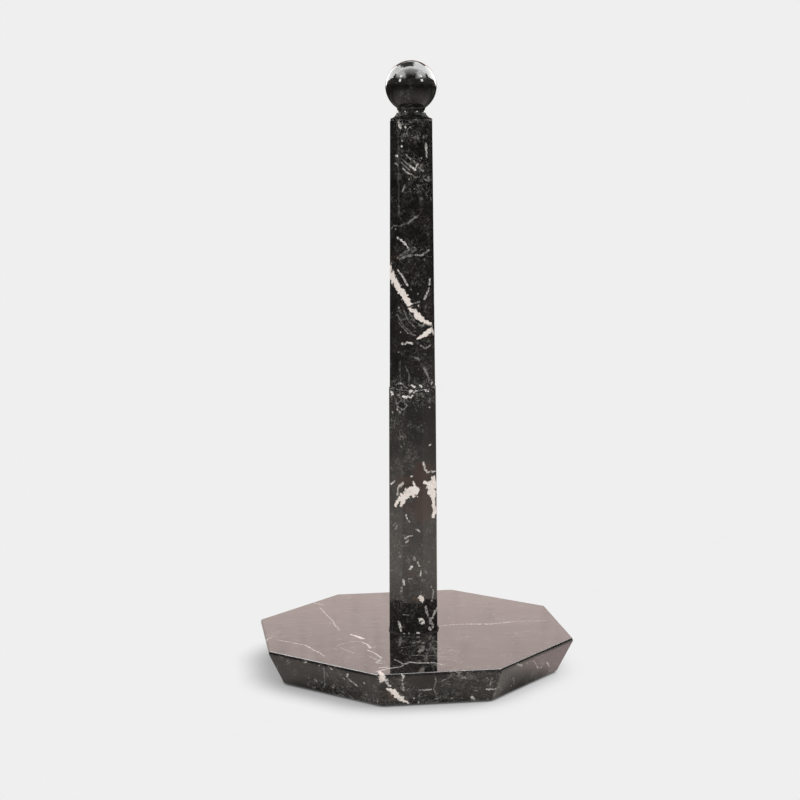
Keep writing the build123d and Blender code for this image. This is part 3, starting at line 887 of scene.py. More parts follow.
# Veins on the slab's sloping sides: (x, y, z).
SLAB_SIDE_VEINS = (
    # Where wisps are thick: low on the sides, and up from there in places
    vein("web", (12, 10), (-56, -44, 3), (-36, -62, 2), (-22, -72, 3), strength=0.85),
    vein("web", (8, 10), (-20, -74, 14), (-14, -72, 8), strength=0.6),
    vein("web", (9, 8), (-12, -70, 3), (8, -70, 3), strength=0.9),
    vein("web", (8, 14), (8, -76, 16), (24, -75, 14), (29, -72, 7), strength=0.75),
    vein("web", (6, 7), (40, -68, 14), (56, -48, 8), strength=0.35),
    # The large cream vein at the front left corner
    vein("white", (2.4, 1.2), (-26.8, -75.8, 18.2), (-25.5, -75.8, 15.9), (-22.7, -73.9, 11.9), strength=0.7),
    vein("cream", (0.8, 2.8), (-24.2, -73.3, 10.6), (-20.7, -72.4, 8.6)),
    vein("cream", (3.0, 2.8), (-20.7, -72.4, 8.6), (-19, -71.2, 6.2), (-16.8, -70.3, 4)),
    vein("cream", (2.6, 0.9), (-16.8, -70.3, 4), (-13.4, -69.1, 1.7)),
    vein("stain", 3.4, (-23, -72, 8), (-20.6, -70.6, 5), strength=0.6),
    vein("white", (0.9, 0.7), (-17.4, -76, 18), (-16.6, -76, 16.8), (-17.1, -75.1, 14.4), strength=0.6),
    vein("white", (0.6, 0.5), (-17.1, -75.1, 14.4), (-16, -72.6, 9.2), strength=0.4),
    vein("white", 0.8, (-8.4, -72.5, 8.7), (-2.8, -72.5, 8.9), strength=0.45),
    vein("white", (0.5, 0.6), (-2, -76, 17.2), (-1, -74.8, 13.7), (-1.6, -72.6, 9), strength=0.22),
    vein("white", 0.5, (-1.6, -72.6, 9), (1, -69.2, 1.8), strength=0.2),
    vein("white", 1.0, (-10.8, -70.4, 4.5), strength=0.6),
    vein("white", 0.9, (-8.3, -69.2, 1.8), strength=0.5),
    vein("white", (1.2, 0.8), (17.2, -69.8, 3.2), (18.8, -69, 1.6), strength=0.7),
    vein("white", (0.8, 0.7), (24, -71.7, 7.1), (28.2, -71.7, 7.2), strength=0.55),
    vein("white", (0.5, 0.7), (26.1, -74.8, 13.7), (25.2, -72.9, 9.8), strength=0.3),
    vein("white", 0.5, (1.9, -74.7, 13.5), (6.3, -75.8, 15.9), (11.5, -75.8, 16), strength=0.2),
    # Right of the front
    vein("white", 0.6, (50.5, -54.5, 14.5), (52.8, -50.3, 11.7), (54.3, -46.6, 8.4), strength=0.4),
    vein("white", 0.6, (54.3, -46.6, 8.4), (57.1, -43.6, 8.1), strength=0.4),
    vein("white", 0.6, (59.8, -42.1, 10), (62.5, -36.9, 6.2), strength=0.5),
    vein("white", 0.7, (40.5, -65.8, 16.9), (43, -62.4, 15.1), strength=0.5),
    vein("white", 0.7, (38.5, -63.1, 9.5), (40.1, -58.7, 5.3), strength=0.18),
    # Left of the front
    vein("white", 0.7, (-60.2, -44.9, 16.3), (-59.3, -45.8, 17.3), strength=0.6),
    vein("white", 0.8, (-53.8, -51.4, 16.6), strength=0.6),
    vein("white", 1.1, (-48.4, -56.6, 16.3), strength=0.8),
    vein("white", 0.6, (-51.9, -53.1, 16.3), (-51.3, -51.6, 13.2), (-50.7, -47.4, 6.1), strength=0.2),
    vein("white", 0.9, (-50.5, -47.6, 6.4), strength=0.6),
    vein("white", 1.2, (-46.9, -50.7, 5.3), strength=0.4),
    vein("white", (0.8, 0.6), (-41.3, -63, 15.3), (-41.6, -61.5, 13.6), (-39.7, -62.1, 11.6), strength=0.6),
    vein("white", (0.8, 0.6), (-39.7, -62.1, 11.6), (-36.6, -63.5, 9.2), strength=0.85),
    vein("white", 0.8, (-27.8, -68.2, 3), strength=0.5),
    # Sides and back
    vein("cream", (1.0, 2.6), (70, 20, 17), (72, 14, 9), (68, 10, 3), strength=0.9),
    vein("white", (0.9, 0.5), (72, 14, 9), (71, 4, 7), strength=0.6),
    vein("white", (0.6, 1.2), (-74, 22, 14), (-71, 28, 8), strength=0.6),
    vein("cream", (2.0, 1.2), (-12, 75.6, 17), (-8, 73, 10), (-3, 70, 3), strength=0.9),
    vein("white", (0.8, 0.5), (22, 75, 15), (27, 71.5, 6), strength=0.6),
)


def stone_warp():
    """Bends a place in the stone a little, as the stone's own flow does."""
    sockets = {
        "Place": ("NodeSocketVector", None),
        "Broad": ("NodeSocketFloat", 1.0),
        "Fine": ("NodeSocketFloat", 0.4),
    }
    tree, given, out = group("ShaderNodeTree", "Stone Warp", sockets, {"Place": "NodeSocketVector"})
    place = given["Place"]
    for size, share in ((7.0, "Broad"), (1.6, "Fine")):
        noise_colour = grain(tree, given["Place"], size, 2.0, "Color")
        shift = vector_calc(tree, "SUBTRACT", noise_colour, (0.5, 0.5, 0.5))
        place = vector_calc(tree, "ADD", place, vector_calc(tree, "SCALE", shift, scale=given[share]))
    feed(tree, out.inputs["Place"], place)
    return tree


def vein_stroke():
    """The mask of one straight stretch of a vein, laid over the mask of the stretches before it."""
    sockets = {
        "Place": ("NodeSocketVector", None),
        "Start": ("NodeSocketVector", None),
        "Run": ("NodeSocketVector", None),
        "Inverse": ("NodeSocketFloat", 0.0),
        "Start Width": ("NodeSocketFloat", 1.0),
        "End Width": ("NodeSocketFloat", 1.0),
        "Strength": ("NodeSocketFloat", 1.0),
        "Ragged": ("NodeSocketFloat", 0.0),
        "Crisp": ("NodeSocketFloat", 2.8),
        "Under": ("NodeSocketFloat", 0.0),
    }
    tree, given, out = group("ShaderNodeTree", "Vein Stroke", sockets, {"Mask": "NodeSocketFloat"})
    reach = vector_calc(tree, "SUBTRACT", given["Place"], given["Start"])
    along = times(tree, vector_calc(tree, "DOT_PRODUCT", reach, given["Run"]), given["Inverse"])
    along = clamped(tree, along)
    nearest = vector_calc(tree, "SCALE", given["Run"], scale=along)
    away = vector_calc(tree, "DISTANCE", reach, nearest)
    widening = minus(tree, given["End Width"], given["Start Width"])
    wide = calc(tree, "MULTIPLY_ADD", widening, along, given["Start Width"])
    # The stone's grain makes the edge ragged, and breaks thin stretches up.
    waver = times(tree, given["Ragged"], calc(tree, "MULTIPLY_ADD", wide, 0.9, 0.9))
    inside = minus(tree, calc(tree, "MULTIPLY_ADD", wide, 0.5, waver), away)
    mask = calc(tree, "MINIMUM", calc(tree, "MULTIPLY_ADD", inside, given["Crisp"], 0.5), 1.0)
    mask = times(tree, mask, given["Strength"])
    feed(tree, out.inputs["Mask"], calc(tree, "MAXIMUM", mask, given["Under"]))
    return tree


def hairline_net():
    """A net of fine, broken, wandering lines."""
    sockets = {
        "Place": ("NodeSocketVector", None),
        "Cell": ("NodeSocketFloat", 5.0),
        "Line": ("NodeSocketFloat", 0.15),
        "Cover": ("NodeSocketFloat", 0.5),
    }
    tree, given, out = group("ShaderNodeTree", "Hairline Net", sockets, {"Mask": "NodeSocketFloat"})
    scaled = vector_calc(tree, "SCALE", given["Place"], scale=calc(tree, "DIVIDE", 1.0, given["Cell"]))
    bend = vector_calc(tree, "SCALE", grain(tree, scaled, 0.7, 3.0, "Color"), scale=0.9)
    bent = vector_calc(tree, "ADD", scaled, bend)
    cells = add(tree, "ShaderNodeTexVoronoi", {"Vector": bent, "Scale": 1.0}, feature="DISTANCE_TO_EDGE")
    edge = times(tree, cells.outputs["Distance"], given["Cell"])
    thin = clamped(tree, minus(tree, 1.0, calc(tree, "DIVIDE", edge, given["Line"])))
    patches = grain(tree, scaled, 1.9, 2.0)
    shown = clamped(tree, calc(tree, "MULTIPLY_ADD", plus(tree, patches, given["Cover"]), 5.0, -5.0))
    feed(tree, out.inputs["Mask"], times(tree, thin, shown))
    return tree


def wisps():
    """Fine wispy threads, as where the black stone was crushed and healed."""
    sockets = {"Place": ("NodeSocketVector", None), "Size": ("NodeSocketFloat", 2.0)}
    tree, given, out = group("ShaderNodeTree", "Wisps", sockets, {"Mask": "NodeSocketFloat"})
    inputs = {
        "Vector": given["Place"],
        "Scale": calc(tree, "DIVIDE", 1.0, given["Size"]),
        "Detail": 2.0,
        "Roughness": 0.9,
        "Lacunarity": 2.0,
        "Offset": 0.8,
        "Gain": 2.5,
        "Distortion": 0.8,
    }
    ridges = add(tree, "ShaderNodeTexNoise", inputs, noise_type="RIDGED_MULTIFRACTAL").outputs["Fac"]
    feed(tree, out.inputs["Mask"], ramp(tree, ridges, 0.9, 1.7))
    return tree


def flecks():
    """Scattered small flecks, a few of them bright."""
    sockets = {
        "Place": ("NodeSocketVector", None),
        "Cell": ("NodeSocketFloat", 4.0),
        "Size": ("NodeSocketFloat", 0.4),
        "Share": ("NodeSocketFloat", 0.3),
    }
    tree, given, out = group("ShaderNodeTree", "Flecks", sockets, {"Mask": "NodeSocketFloat"})
    scaled = vector_calc(tree, "SCALE", given["Place"], scale=calc(tree, "DIVIDE", 1.0, given["Cell"]))
    cells = add(tree, "ShaderNodeTexVoronoi", {"Vector": scaled, "Scale": 1.0}, feature="F1")
    chance = add(tree, "ShaderNodeSeparateColor", {"Color": cells.outputs["Color"]}).outputs
    away = times(tree, cells.outputs["Distance"], given["Cell"])
    size = times(tree, given["Size"], chance["Green"])
    mask = clamped(tree, times(tree, minus(tree, size, away), 6.0))
    kept = calc(tree, "LESS_THAN", chance["Red"], given["Share"])
    mask = times(tree, times(tree, mask, kept), chance["Blue"])
    feed(tree, out.inputs["Mask"], mask)
    return tree


def shared(maker):
    """A node group that is made once."""
    name = maker.__name__.replace("_", " ").title()
    return bpy.data.node_groups.get(name) or maker()


SOFT_EDGES = {"stain": 0.5, "web": 0.25, "rust": 1.2}


def draw_veins(tree, veins, place, ragged, masks):
    """Chain the strokes of all veins, one chain for each tint."""
    for one in veins:
        count = len(one.points) - 1
        for step in range(count):
            start = Vector((*one.points[step], 0, 0)[:3])
            run = Vector((*one.points[step + 1], 0, 0)[:3]) - start
            share = [one.wide[0] + (one.wide[1] - one.wide[0]) * (step + end) / count for end in (0, 1)]
            stroke = {
                "Place": place,
                "Start": start,
                "Run": run,
                "Inverse": 1 / run.length_squared if run.length else 0,
                "Start Width": share[0],
                "End Width": share[1],
                "Strength": one.strength,
                "Ragged": ragged,
                "Crisp": SOFT_EDGES.get(one.tint, 2.8),
                "Under": masks.get(one.tint, 0.0),
            }
            masks[one.tint] = place_group(tree, shared(vein_stroke), stroke)["Mask"]
    return masks


Bedding = namedtuple("Bedding", "clouds cloud_size wisps wisp_size threads thread_cell flecks")


def marble_material(marble, name, bedding, drawings, tone=None, waves=0.10, hollow_top=None):
    """Polished black marble. drawings pair a list of veins with a function that gives their place."""
    material, tree = new_material(name)
    metres = add(tree, "ShaderNodeTexCoord").outputs["Object"]
    place = vector_calc(tree, "SCALE", metres, scale=1 / MM)
    flow = place_group(tree, shared(stone_warp), {"Place": place, "Broad": 5.0, "Fine": 1.2})["Place"]
    drawn = place_group(tree, shared(stone_warp), {"Place": place, "Broad": 0.7, "Fine": 0.85})["Place"]
    ragged = minus(tree, grain(tree, place, 1.5, 4.0), 0.5)
    masks = {}
    for veins, project in drawings:
        draw_veins(tree, veins, project(tree, drawn), ragged, masks)

    # Ground: black, with smoky clouds of two hues and a fine mottle
    clouds = ramp(tree, grain(tree, flow, bedding.cloud_size, 5.0), 0.35, 0.72)
    mottle = ramp(tree, grain(tree, flow, 1.5, 4.0), 0.35, 0.75, 0.35, 1.0)
    smoke = times(tree, times(tree, clouds, mottle), bedding.clouds)
    if tone:
        smoke = times(tree, smoke, tone(tree, drawn))
    hue = ramp(tree, grain(tree, place, 9.0, 2.0), 0.4, 0.6)
    smoke_shade = blend(tree, hue, opaque(marble.smoke), opaque(marble.plum))
    shade = blend(tree, smoke, opaque(marble.black), smoke_shade)

    # Wisps lie in patches, and thickest where a web is drawn
    patches = ramp(tree, grain(tree, place, 13.0, 3.0), 0.42, 0.62, 0.12, 1.0)
    cover = times(tree, patches, bedding.wisps)
    if "web" in masks:
        cover = calc(tree, "MAXIMUM", cover, masks["web"])
    fine = place_group(tree, shared(wisps), {"Place": flow, "Size": bedding.wisp_size})["Mask"]
    coarse = place_group(tree, shared(wisps), {"Place": drawn, "Size": bedding.wisp_size * 2.3})["Mask"]
    coarse = times(tree, coarse, ramp(tree, grain(tree, drawn, 4.0), 0.45, 0.6))
    wispy = times(tree, calc(tree, "MAXIMUM", times(tree, fine, 0.5), coarse), cover)
    shade = blend(tree, wispy, shade, opaque(marble.grey))
    threads = {"Place": drawn, "Cell": bedding.thread_cell, "Line": 0.32, "Cover": 0.42}
    threads = place_group(tree, shared(hairline_net), threads)["Mask"]
    threaded = calc(tree, "MULTIPLY_ADD", cover, 0.5, bedding.threads * 0.5)
    shade = blend(tree, times(tree, threads, threaded), shade, opaque(marble.grey))
    specks = {"Place": flow, "Cell": 4.2, "Size": 0.75, "Share": bedding.flecks}
    specks = place_group(tree, shared(flecks), specks)["Mask"]
    shade = blend(tree, times(tree, specks, 0.55), shade, opaque(marble.white))

    # The drawn veins. Cream ones are cloudy inside, and thin white ones fade in and out.
    inside = ramp(tree, grain(tree, place, 1.3, 3.0), 0.3, 0.7)
    cream = blend(tree, inside, opaque(marble.cream), opaque(marble.white))
    cream = blend(tree, times(tree, coarse, 0.5), cream, opaque(marble.grey))
    faded = ramp(tree, grain(tree, place, 0.9, 3.0), 0.30, 0.62, 0.15, 1.0)
    for tint, paint in (
        ("stain", opaque(marble.stain)),
        ("rust", opaque(marble.rust)),
        ("white", opaque(marble.white)),
        ("cream", cream),
        ("dark", opaque(marble.black)),
    ):
        if tint in masks:
            share = masks[tint]
            if tint in {"white", "rust"}:
                share = times(tree, share, faded)
            shade = blend(tree, share, shade, paint)

    # Polish: slightly duller on the soft veins, with the faint waves of hand polishing
    soft = calc(tree, "MAXIMUM", masks.get("cream", 0.0), masks.get("white", 0.0))
    rough = ramp(tree, grain(tree, place, 9.0, 4.0), 0.3, 0.8, marble.polish * 0.6, marble.polish * 1.8)
    rough = calc(tree, "MULTIPLY_ADD", soft, 0.10, rough)
    stretched = vector_calc(tree, "MULTIPLY", place, (0.45, 1.0, 1.0))
    relief = grain(tree, stretched, 5.0, 2.0)
    bump = {"Height": relief, "Strength": waves, "Distance": 0.06 * MM}
    bump = add(tree, "ShaderNodeBump", bump).outputs[0]
    shader = surface(tree, {"Base Color": shade, "Roughness": rough, "Normal": bump})
    if hollow_top:
        # The wheel never reached into the hollow, so the polish is a coat that is patchy there.
        up = add(tree, "ShaderNodeSeparateXYZ", {"Vector": place}).outputs["Z"]
        reached = ramp(tree, up, hollow_top - 1.6, hollow_top - 1.0)
        patchy = ramp(tree, grain(tree, place, 0.9, 4.0), 0.42, 0.68, 0.03, 0.22)
        coat = calc(tree, "MAXIMUM", reached, patchy)
        feed(tree, shader.inputs["Coat Weight"], coat)
        feed(tree, shader.inputs["Coat Roughness"], 0.04)
        feed(tree, shader.inputs["Coat IOR"], 1.31)
        feed(tree, shader.inputs["Specular IOR Level"], 0.0)
    return material


def through_post(tree, place):
    """Across and up a post's front. A vein's sheet shifts sideways and sinks as it goes back through it."""
    axes = add(tree, "ShaderNodeSeparateXYZ", {"Vector": place}).outputs
    view = math.radians(8.7)
    across = vector_calc(tree, "DOT_PRODUCT", place, (math.cos(view), -math.sin(view), 0))
    depth = vector_calc(tree, "DOT_PRODUCT", place, (math.sin(view), math.cos(view), 0))
    behind = calc(tree, "MAXIMUM", plus(tree, depth, 5.0), 0.0)
    shifted = calc(tree, "MULTIPLY_ADD", behind, 0.35, across)
    sunk = calc(tree, "MULTIPLY_ADD", behind, 0.8, axes["Z"])
    return add(tree, "ShaderNodeCombineXYZ", {"X": shifted, "Y": sunk}).outputs[0]


def down_slab(tree, place):
    """Over the slab's top. A vein there runs out a little way down the side."""
    axes = add(tree, "ShaderNodeSeparateXYZ", {"Vector": place}).outputs
    below = calc(tree, "MAXIMUM", calc(tree, "MULTIPLY_ADD", axes["Z"], -0.6, 9.8), 0.0)
    return add(tree, "ShaderNodeCombineXYZ", {"X": axes["X"], "Y": axes["Y"], "Z": below}).outputs[0]


def in_place(tree, place):
    """The stone's own coordinates, unchanged."""
    return place


def lower_tone(tree, place):
    """The lower post is greyest in its upper half and black at its foot."""
    up = add(tree, "ShaderNodeSeparateXYZ", {"Vector": place}).outputs["Z"]
    return ramp(tree, up, 36.0, 50.0, 0.3, 1.0)


# ---- Slab ---------------------------------------------------------------------------------------------


def make_slab(settings):
    """The slab from the bore outwards over its top, lip and sloping side, and back under to the recess."""
    slab = settings.slab
    low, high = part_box("base_slab")
    bottom, top = low.z, high.z
    sides = octagon(high.x, trims=slab.trims)
    round_places = stations(48, 4)
    recess_top = heights("flat_washer")[1]
    recess_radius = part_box("flat_washer")[1].x + 2.0 * MM
    bore_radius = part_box("tie_rod")[1].x + 0.5 * MM
    lip_bottom = top - slab.lip

    def ring(inset, z):
        return [
            (*outline_point(sides, place, inset, slab.corner_round), z) for place in round_places
        ]

    plain = [outline_point(sides, place, 0, slab.corner_round) for place in round_places]
    worn = [slab.edge_round * wear(p.to_3d(), 9 * MM, slab.chipping) for p in plain]
    nicked = [slab.edge_round * wear((p * 1.3).to_3d(), 7 * MM, slab.chipping) for p in plain]

    def worn_ring(depths, share, base_inset, base_z, outward_up):
        """One ring of a rounded edge: share 0 lies on the level face, 1 on the side."""
        points = []
        for place, depth in zip(round_places, depths):
            swing = share * math.pi / 2
            inset = base_inset + depth * (1 - math.sin(swing))
            drop = depth * (1 - math.cos(swing))
            point = outline_point(sides, place, inset, slab.corner_round)
            points.append((*point, base_z - drop * outward_up))
        return points

    slope_height = lip_bottom - bottom
    rings = [bore_ring(plain, bore_radius, recess_top), bore_ring(plain, bore_radius, top)]
    rings += [worn_ring(worn, share / 4, slab.lip_lean, top, 1) for share in range(5)]
    soft = 0.35 * MM
    rings.append(ring(0, lip_bottom + soft))
    rings.append(ring(soft * slab.undercut / slope_height * 0.3, lip_bottom))
    rings.append(ring(soft * slab.undercut / slope_height, lip_bottom - soft))
    rings += [worn_ring(nicked, share / 4, slab.undercut, bottom, -1) for share in range(4, -1, -1)]
    rings.append(bore_ring(plain, recess_radius + 0.4 * MM, bottom))
    rings.append(bore_ring(plain, recess_radius, bottom + 0.4 * MM))
    rings.append(bore_ring(plain, recess_radius, recess_top))
    made = polished(skin("slab", rings, closed=True), 35)
    bedding = Bedding(0.8, 14.0, 0.55, 2.2, 0.40, 17.0, 0.16)
    drawings = ((SLAB_TOP_VEINS, down_slab), (SLAB_SIDE_VEINS, in_place))
    stone = marble_material(settings.marble, "slab_marble", bedding, drawings, waves=0.45)
    finish_piece(made, stone, "base_marble", "base_slab")


# ---- Post ---------------------------------------------------------------------------------------------


def make_post_piece(settings, name, node, widths, turn, stone, slot):
    """One tapered octagonal bar, bored through, with rounded, unevenly worn arrises."""
    post = settings.post
    bottom, top = heights(node)
    bore_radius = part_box("tie_rod")[1].x + 0.5 * MM
    places = stations(2, 6)

    def ring(z, extra_inset=0.0):
        share = (z - bottom) / (top - bottom)
        half = (widths[0] + (widths[1] - widths[0]) * share) / 2
        sides = octagon(half, turn)
        points = []
        for place in places:
            corner = Vector((place.side * 17.0 * MM if place.run == 0 else 0, 0, z))
            rounding = post.arris_round * wear(corner, 6 * MM, post.chipping if place.run == 0 else 0)
            points.append((*outline_point(sides, place, extra_inset, rounding), z))
        return points

    rounding = post.end_round
    steps = 3
    angles = [i / steps * math.pi / 2 for i in range(steps + 1)]
    edge = [
        (rounding * (1 - math.sin(angle)), rounding * (1 - math.cos(angle)))
        for angle in angles
    ]
    middle_count = round((top - bottom) / (1.6 * MM))
    outline = [Vector(p[:2]) for p in ring(bottom)]
    rings = [bore_ring(outline, bore_radius, bottom)]
    rings += [ring(bottom + rise, inset) for inset, rise in edge]
    span = top - bottom - 2 * rounding
    rings += [ring(bottom + rounding + span * i / middle_count) for i in range(1, middle_count)]
    rings += [ring(top - rise, inset) for inset, rise in reversed(edge)]
    rings.append(bore_ring(outline, bore_radius, top))
    made = polished(skin(name, rings, closed=True), 40)
    finish_piece(made, stone, slot, node)


# ---- Finial -------------------------------------------------------------------------------------------


def finial_profile(finial):
    """(radius, height) points from the crown down the ball, neck and cove, and up inside the socket."""
    bottom, top = heights("ball_finial")
    ball_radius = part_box("ball_finial")[1].x
    ball_radius = round(ball_radius / MM, 1) * MM
    centre = top - ball_radius
    neck, foot = finial.neck / 2, finial.foot / 2
    rim_top = bottom + finial.rim
    cove_top = rim_top + finial.cove
    blend_radius = finial.neck_blend
    # The blend's centre lies a blend's radius out from the neck, and clear of the ball by the same.
    out = neck + blend_radius
    drop = math.sqrt((ball_radius + blend_radius) ** 2 - out**2)
    touch = math.degrees(math.atan2(-drop, out))
    points = arc((0, centre), ball_radius, 90, touch, 60)
    points += arc((out, centre - drop), blend_radius, 180 + touch, 180, 6)[1:]
    # The cove is upright at the neck's narrowest point and flares out to the rim.
    span, rise = foot - neck, cove_top - rim_top
    cove_radius = (span**2 + rise**2) / (2 * span)
    flare = math.degrees(math.atan2(-rise, span - cove_radius)) % 360
    points += arc((neck + cove_radius, cove_top), cove_radius, 180, flare, 14)
    points += [(foot, bottom + 0.12 * MM), (foot - 0.12 * MM, bottom)]
    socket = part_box("socket_resin")
    points += [(socket[1].x, bottom), (socket[1].x, socket[1].z), (0, socket[1].z)]
    return points


def make_finial(settings):
    points = finial_profile(settings.finial)
    made = polished(skin("finial", lathe(points, 96), closed=False), 40)
    bedding = Bedding(0.22, 8.0, 0.45, 1.4, 0.25, 8.0, 0.25)
    hollow_top = (heights("ball_finial")[0] + settings.finial.rim + settings.finial.cove) / MM
    stone = marble_material(settings.marble, "finial_marble", bedding, (), hollow_top=hollow_top)
    finish_piece(made, stone, "finial_marble", "ball_finial")


# ---- Resin, rod, nut, washers and feet ----------------------------------------------------------------


def mottle():
    """Broad dull patches and a fine grain, for surfaces that are neither new nor even."""
    sockets = {
        "Place": ("NodeSocketVector", None),
        "Patch": ("NodeSocketFloat", 3.0),
        "Grain": ("NodeSocketFloat", 0.2),
    }
    results = {"Patches": "NodeSocketFloat", "Relief": "NodeSocketFloat"}
    tree, given, out = group("ShaderNodeTree", "Mottle", sockets, results)
    for name, detail in (("Patch", 4.0), ("Grain", 2.0)):
        scaled = vector_calc(tree, "SCALE", given["Place"], scale=calc(tree, "DIVIDE", 1.0, given[name]))
        found = grain(tree, scaled, 1.0, detail)
        if name == "Patch":
            feed(tree, out.inputs["Patches"], ramp(tree, found, 0.38, 0.66))
        else:
            feed(tree, out.inputs["Relief"], found)
    return tree


Finish = namedtuple("Finish", "patch grain smooth rough depth metallic")


def fixing_material(name, shade, patch_shade, finish, gritty=0.0, gloss=0.5):
    """Plain stuff in two shades: mottled, with a fine relief, and with grit caught in it where gritty."""
    material, tree = new_material(name)
    metres = add(tree, "ShaderNodeTexCoord").outputs["Object"]
    place = vector_calc(tree, "SCALE", metres, scale=1 / MM)
    mottled = {"Place": place, "Patch": finish.patch, "Grain": finish.grain}
    mottled = place_group(tree, shared(mottle), mottled)
    share = mottled["Patches"]
    if gritty:
        grit = {"Place": place, "Cell": 0.5, "Size": 0.26, "Share": gritty}
        share = place_group(tree, shared(flecks), grit)["Mask"]
    colour_out = blend(tree, share, opaque(shade), opaque(patch_shade))
    rough = ramp(tree, mottled["Patches"], 0.0, 1.0, finish.smooth, finish.rough)
    bump = {"Height": mottled["Relief"], "Strength": 0.6, "Distance": finish.depth * MM}
    bump = add(tree, "ShaderNodeBump", bump).outputs[0]
    inputs = {"Base Color": colour_out, "Roughness": rough, "Metallic": finish.metallic, "Normal": bump}
    shader = surface(tree, inputs)
    feed(tree, shader.inputs["Specular IOR Level"], gloss)
    return material


def steel_material(fixing):
    """Zinc-plated steel, made once."""
    finish = Finish(2.6, 0.12, 0.20, 0.48, 0.015, 1.0)
    made = bpy.data.materials.get("plated_steel")
    return made or fixing_material("plated_steel", fixing.steel, fixing.dull_steel, finish)


def ended(tree, last, given, out):
    """End a geometry tree in real mesh with its material."""
    real = add(tree, "GeometryNodeRealizeInstances", {"Geometry": last.outputs[0]})
    paint = {"Geometry": real.outputs[0], "Material": given["Material"]}
    painted = add(tree, "GeometryNodeSetMaterial", paint)
    feed(tree, out.inputs["Geometry"], painted.outputs[0])
    return tree


def bead_tree():
    """Beads of resin, unevenly sized, along an eight-sided joint."""
    sockets = {
        "Geometry": ("NodeSocketGeometry", None),
        "Corner Radius": ("NodeSocketFloat", 0.01),
        "Height": ("NodeSocketFloat", 0.0),
        "Turn": ("NodeSocketFloat", 0.0),
        "Count": ("NodeSocketInt", 40),
        "Bead": ("NodeSocketFloat", 0.0003),
        "Seed": ("NodeSocketInt", 0),
        "Material": ("NodeSocketMaterial", None),
    }
    tree, given, out = group("GeometryNodeTree", "Resin Beads", sockets, {"Geometry": "NodeSocketGeometry"})
    line = add(tree, "GeometryNodeCurvePrimitiveCircle", {"Resolution": 8, "Radius": given["Corner Radius"]})
    lift = add(tree, "ShaderNodeCombineXYZ", {"Z": given["Height"]}).outputs[0]
    turn = add(tree, "ShaderNodeCombineXYZ", {"Z": given["Turn"]}).outputs[0]
    set_out = {"Geometry": line.outputs["Curve"], "Translation": lift, "Rotation": turn}
    line = add(tree, "GeometryNodeTransform", set_out)
    line = add(tree, "GeometryNodeResampleCurve", {"Curve": line.outputs[0], "Count": given["Count"]})
    drift = {"Min": (-1.0, -1.0, -0.2), "Max": (1.0, 1.0, 0.2), "Seed": given["Seed"]}
    drift = add(tree, "FunctionNodeRandomValue", drift, data_type="FLOAT_VECTOR").outputs[0]
    drift = vector_calc(tree, "SCALE", drift, scale=given["Bead"])
    line = add(tree, "GeometryNodeSetPosition", {"Geometry": line.outputs[0], "Offset": drift})
    bead = add(tree, "GeometryNodeMeshIcoSphere", {"Radius": given["Bead"], "Subdivisions": 2})
    size = {"Min": (0.35, 0.35, 0.25), "Max": (1.0, 1.0, 0.7), "Seed": plus(tree, given["Seed"], 1)}
    size = add(tree, "FunctionNodeRandomValue", size, data_type="FLOAT_VECTOR").outputs[0]
    beads = {"Points": line.outputs[0], "Instance": bead.outputs["Mesh"], "Scale": size}
    beads = add(tree, "GeometryNodeInstanceOnPoints", beads)
    whole = add(tree, "GeometryNodeJoinGeometry", {"Geometry": beads.outputs[0]})
    tree.links.new(given["Geometry"], whole.inputs["Geometry"])
    return ended(tree, whole, given, out)


Edge = namedtuple("Edge", "half_width turn reach")  # an octagon, and how far beyond its sides resin reaches


def make_bed(settings, node, spread, stone, climb, resin, seed):
    """A thin bed of resin: its edge spreads unevenly over the stone below and climbs the stone above."""
    fixing, rounding = settings.fixing, settings.post.arris_round
    bottom, top = heights(node)
    bore_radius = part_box("tie_rod")[1].x + 0.5 * MM
    places = stations(12, 4)

    def ring(z, edge, extra=0.0, ragged=1.0):
        sides = octagon(edge.half_width, edge.turn)
        points = []
        for place in places:
            plain = outline_point(sides, place, 0, rounding)
            uneven = noise.noise(Vector((*plain, seed * MM)) / (1.7 * MM))
            out = edge.reach + extra + ragged * fixing.raggedness * uneven
            points.append((*outline_point(sides, place, -out, rounding), z))
        return points

    outline = [outline_point(octagon(stone.half_width, stone.turn), place, 0, rounding) for place in places]
    rings = [bore_ring(outline, bore_radius, bottom), ring(bottom, spread)]
    rings += [ring(bottom + 0.08 * MM, spread, -0.04 * MM), ring(top + climb / 3, stone, 0.12 * MM)]
    rings += [ring(top + climb, stone, -0.03 * MM, 0.3), ring(top, stone, -1.2 * MM)]
    rings.append(bore_ring(outline, bore_radius, top))
    made = skin(node.replace("_resin", "_bed"), rings, closed=True)
    inputs = {
        "Corner Radius": (stone.half_width + stone.reach + 0.15 * MM) / math.cos(OCTANT / 2),
        "Height": bottom + 0.08 * MM,
        "Turn": stone.turn + OCTANT / 2,
        "Count": fixing.beads,
        "Bead": fixing.bead,
        "Seed": seed,
        "Material": resin,
    }
    tree = bpy.data.node_groups.get("Resin Beads") or bead_tree()
    finish_piece(polished(grown(made, tree, inputs), 50), resin, "bedding_resin", node)


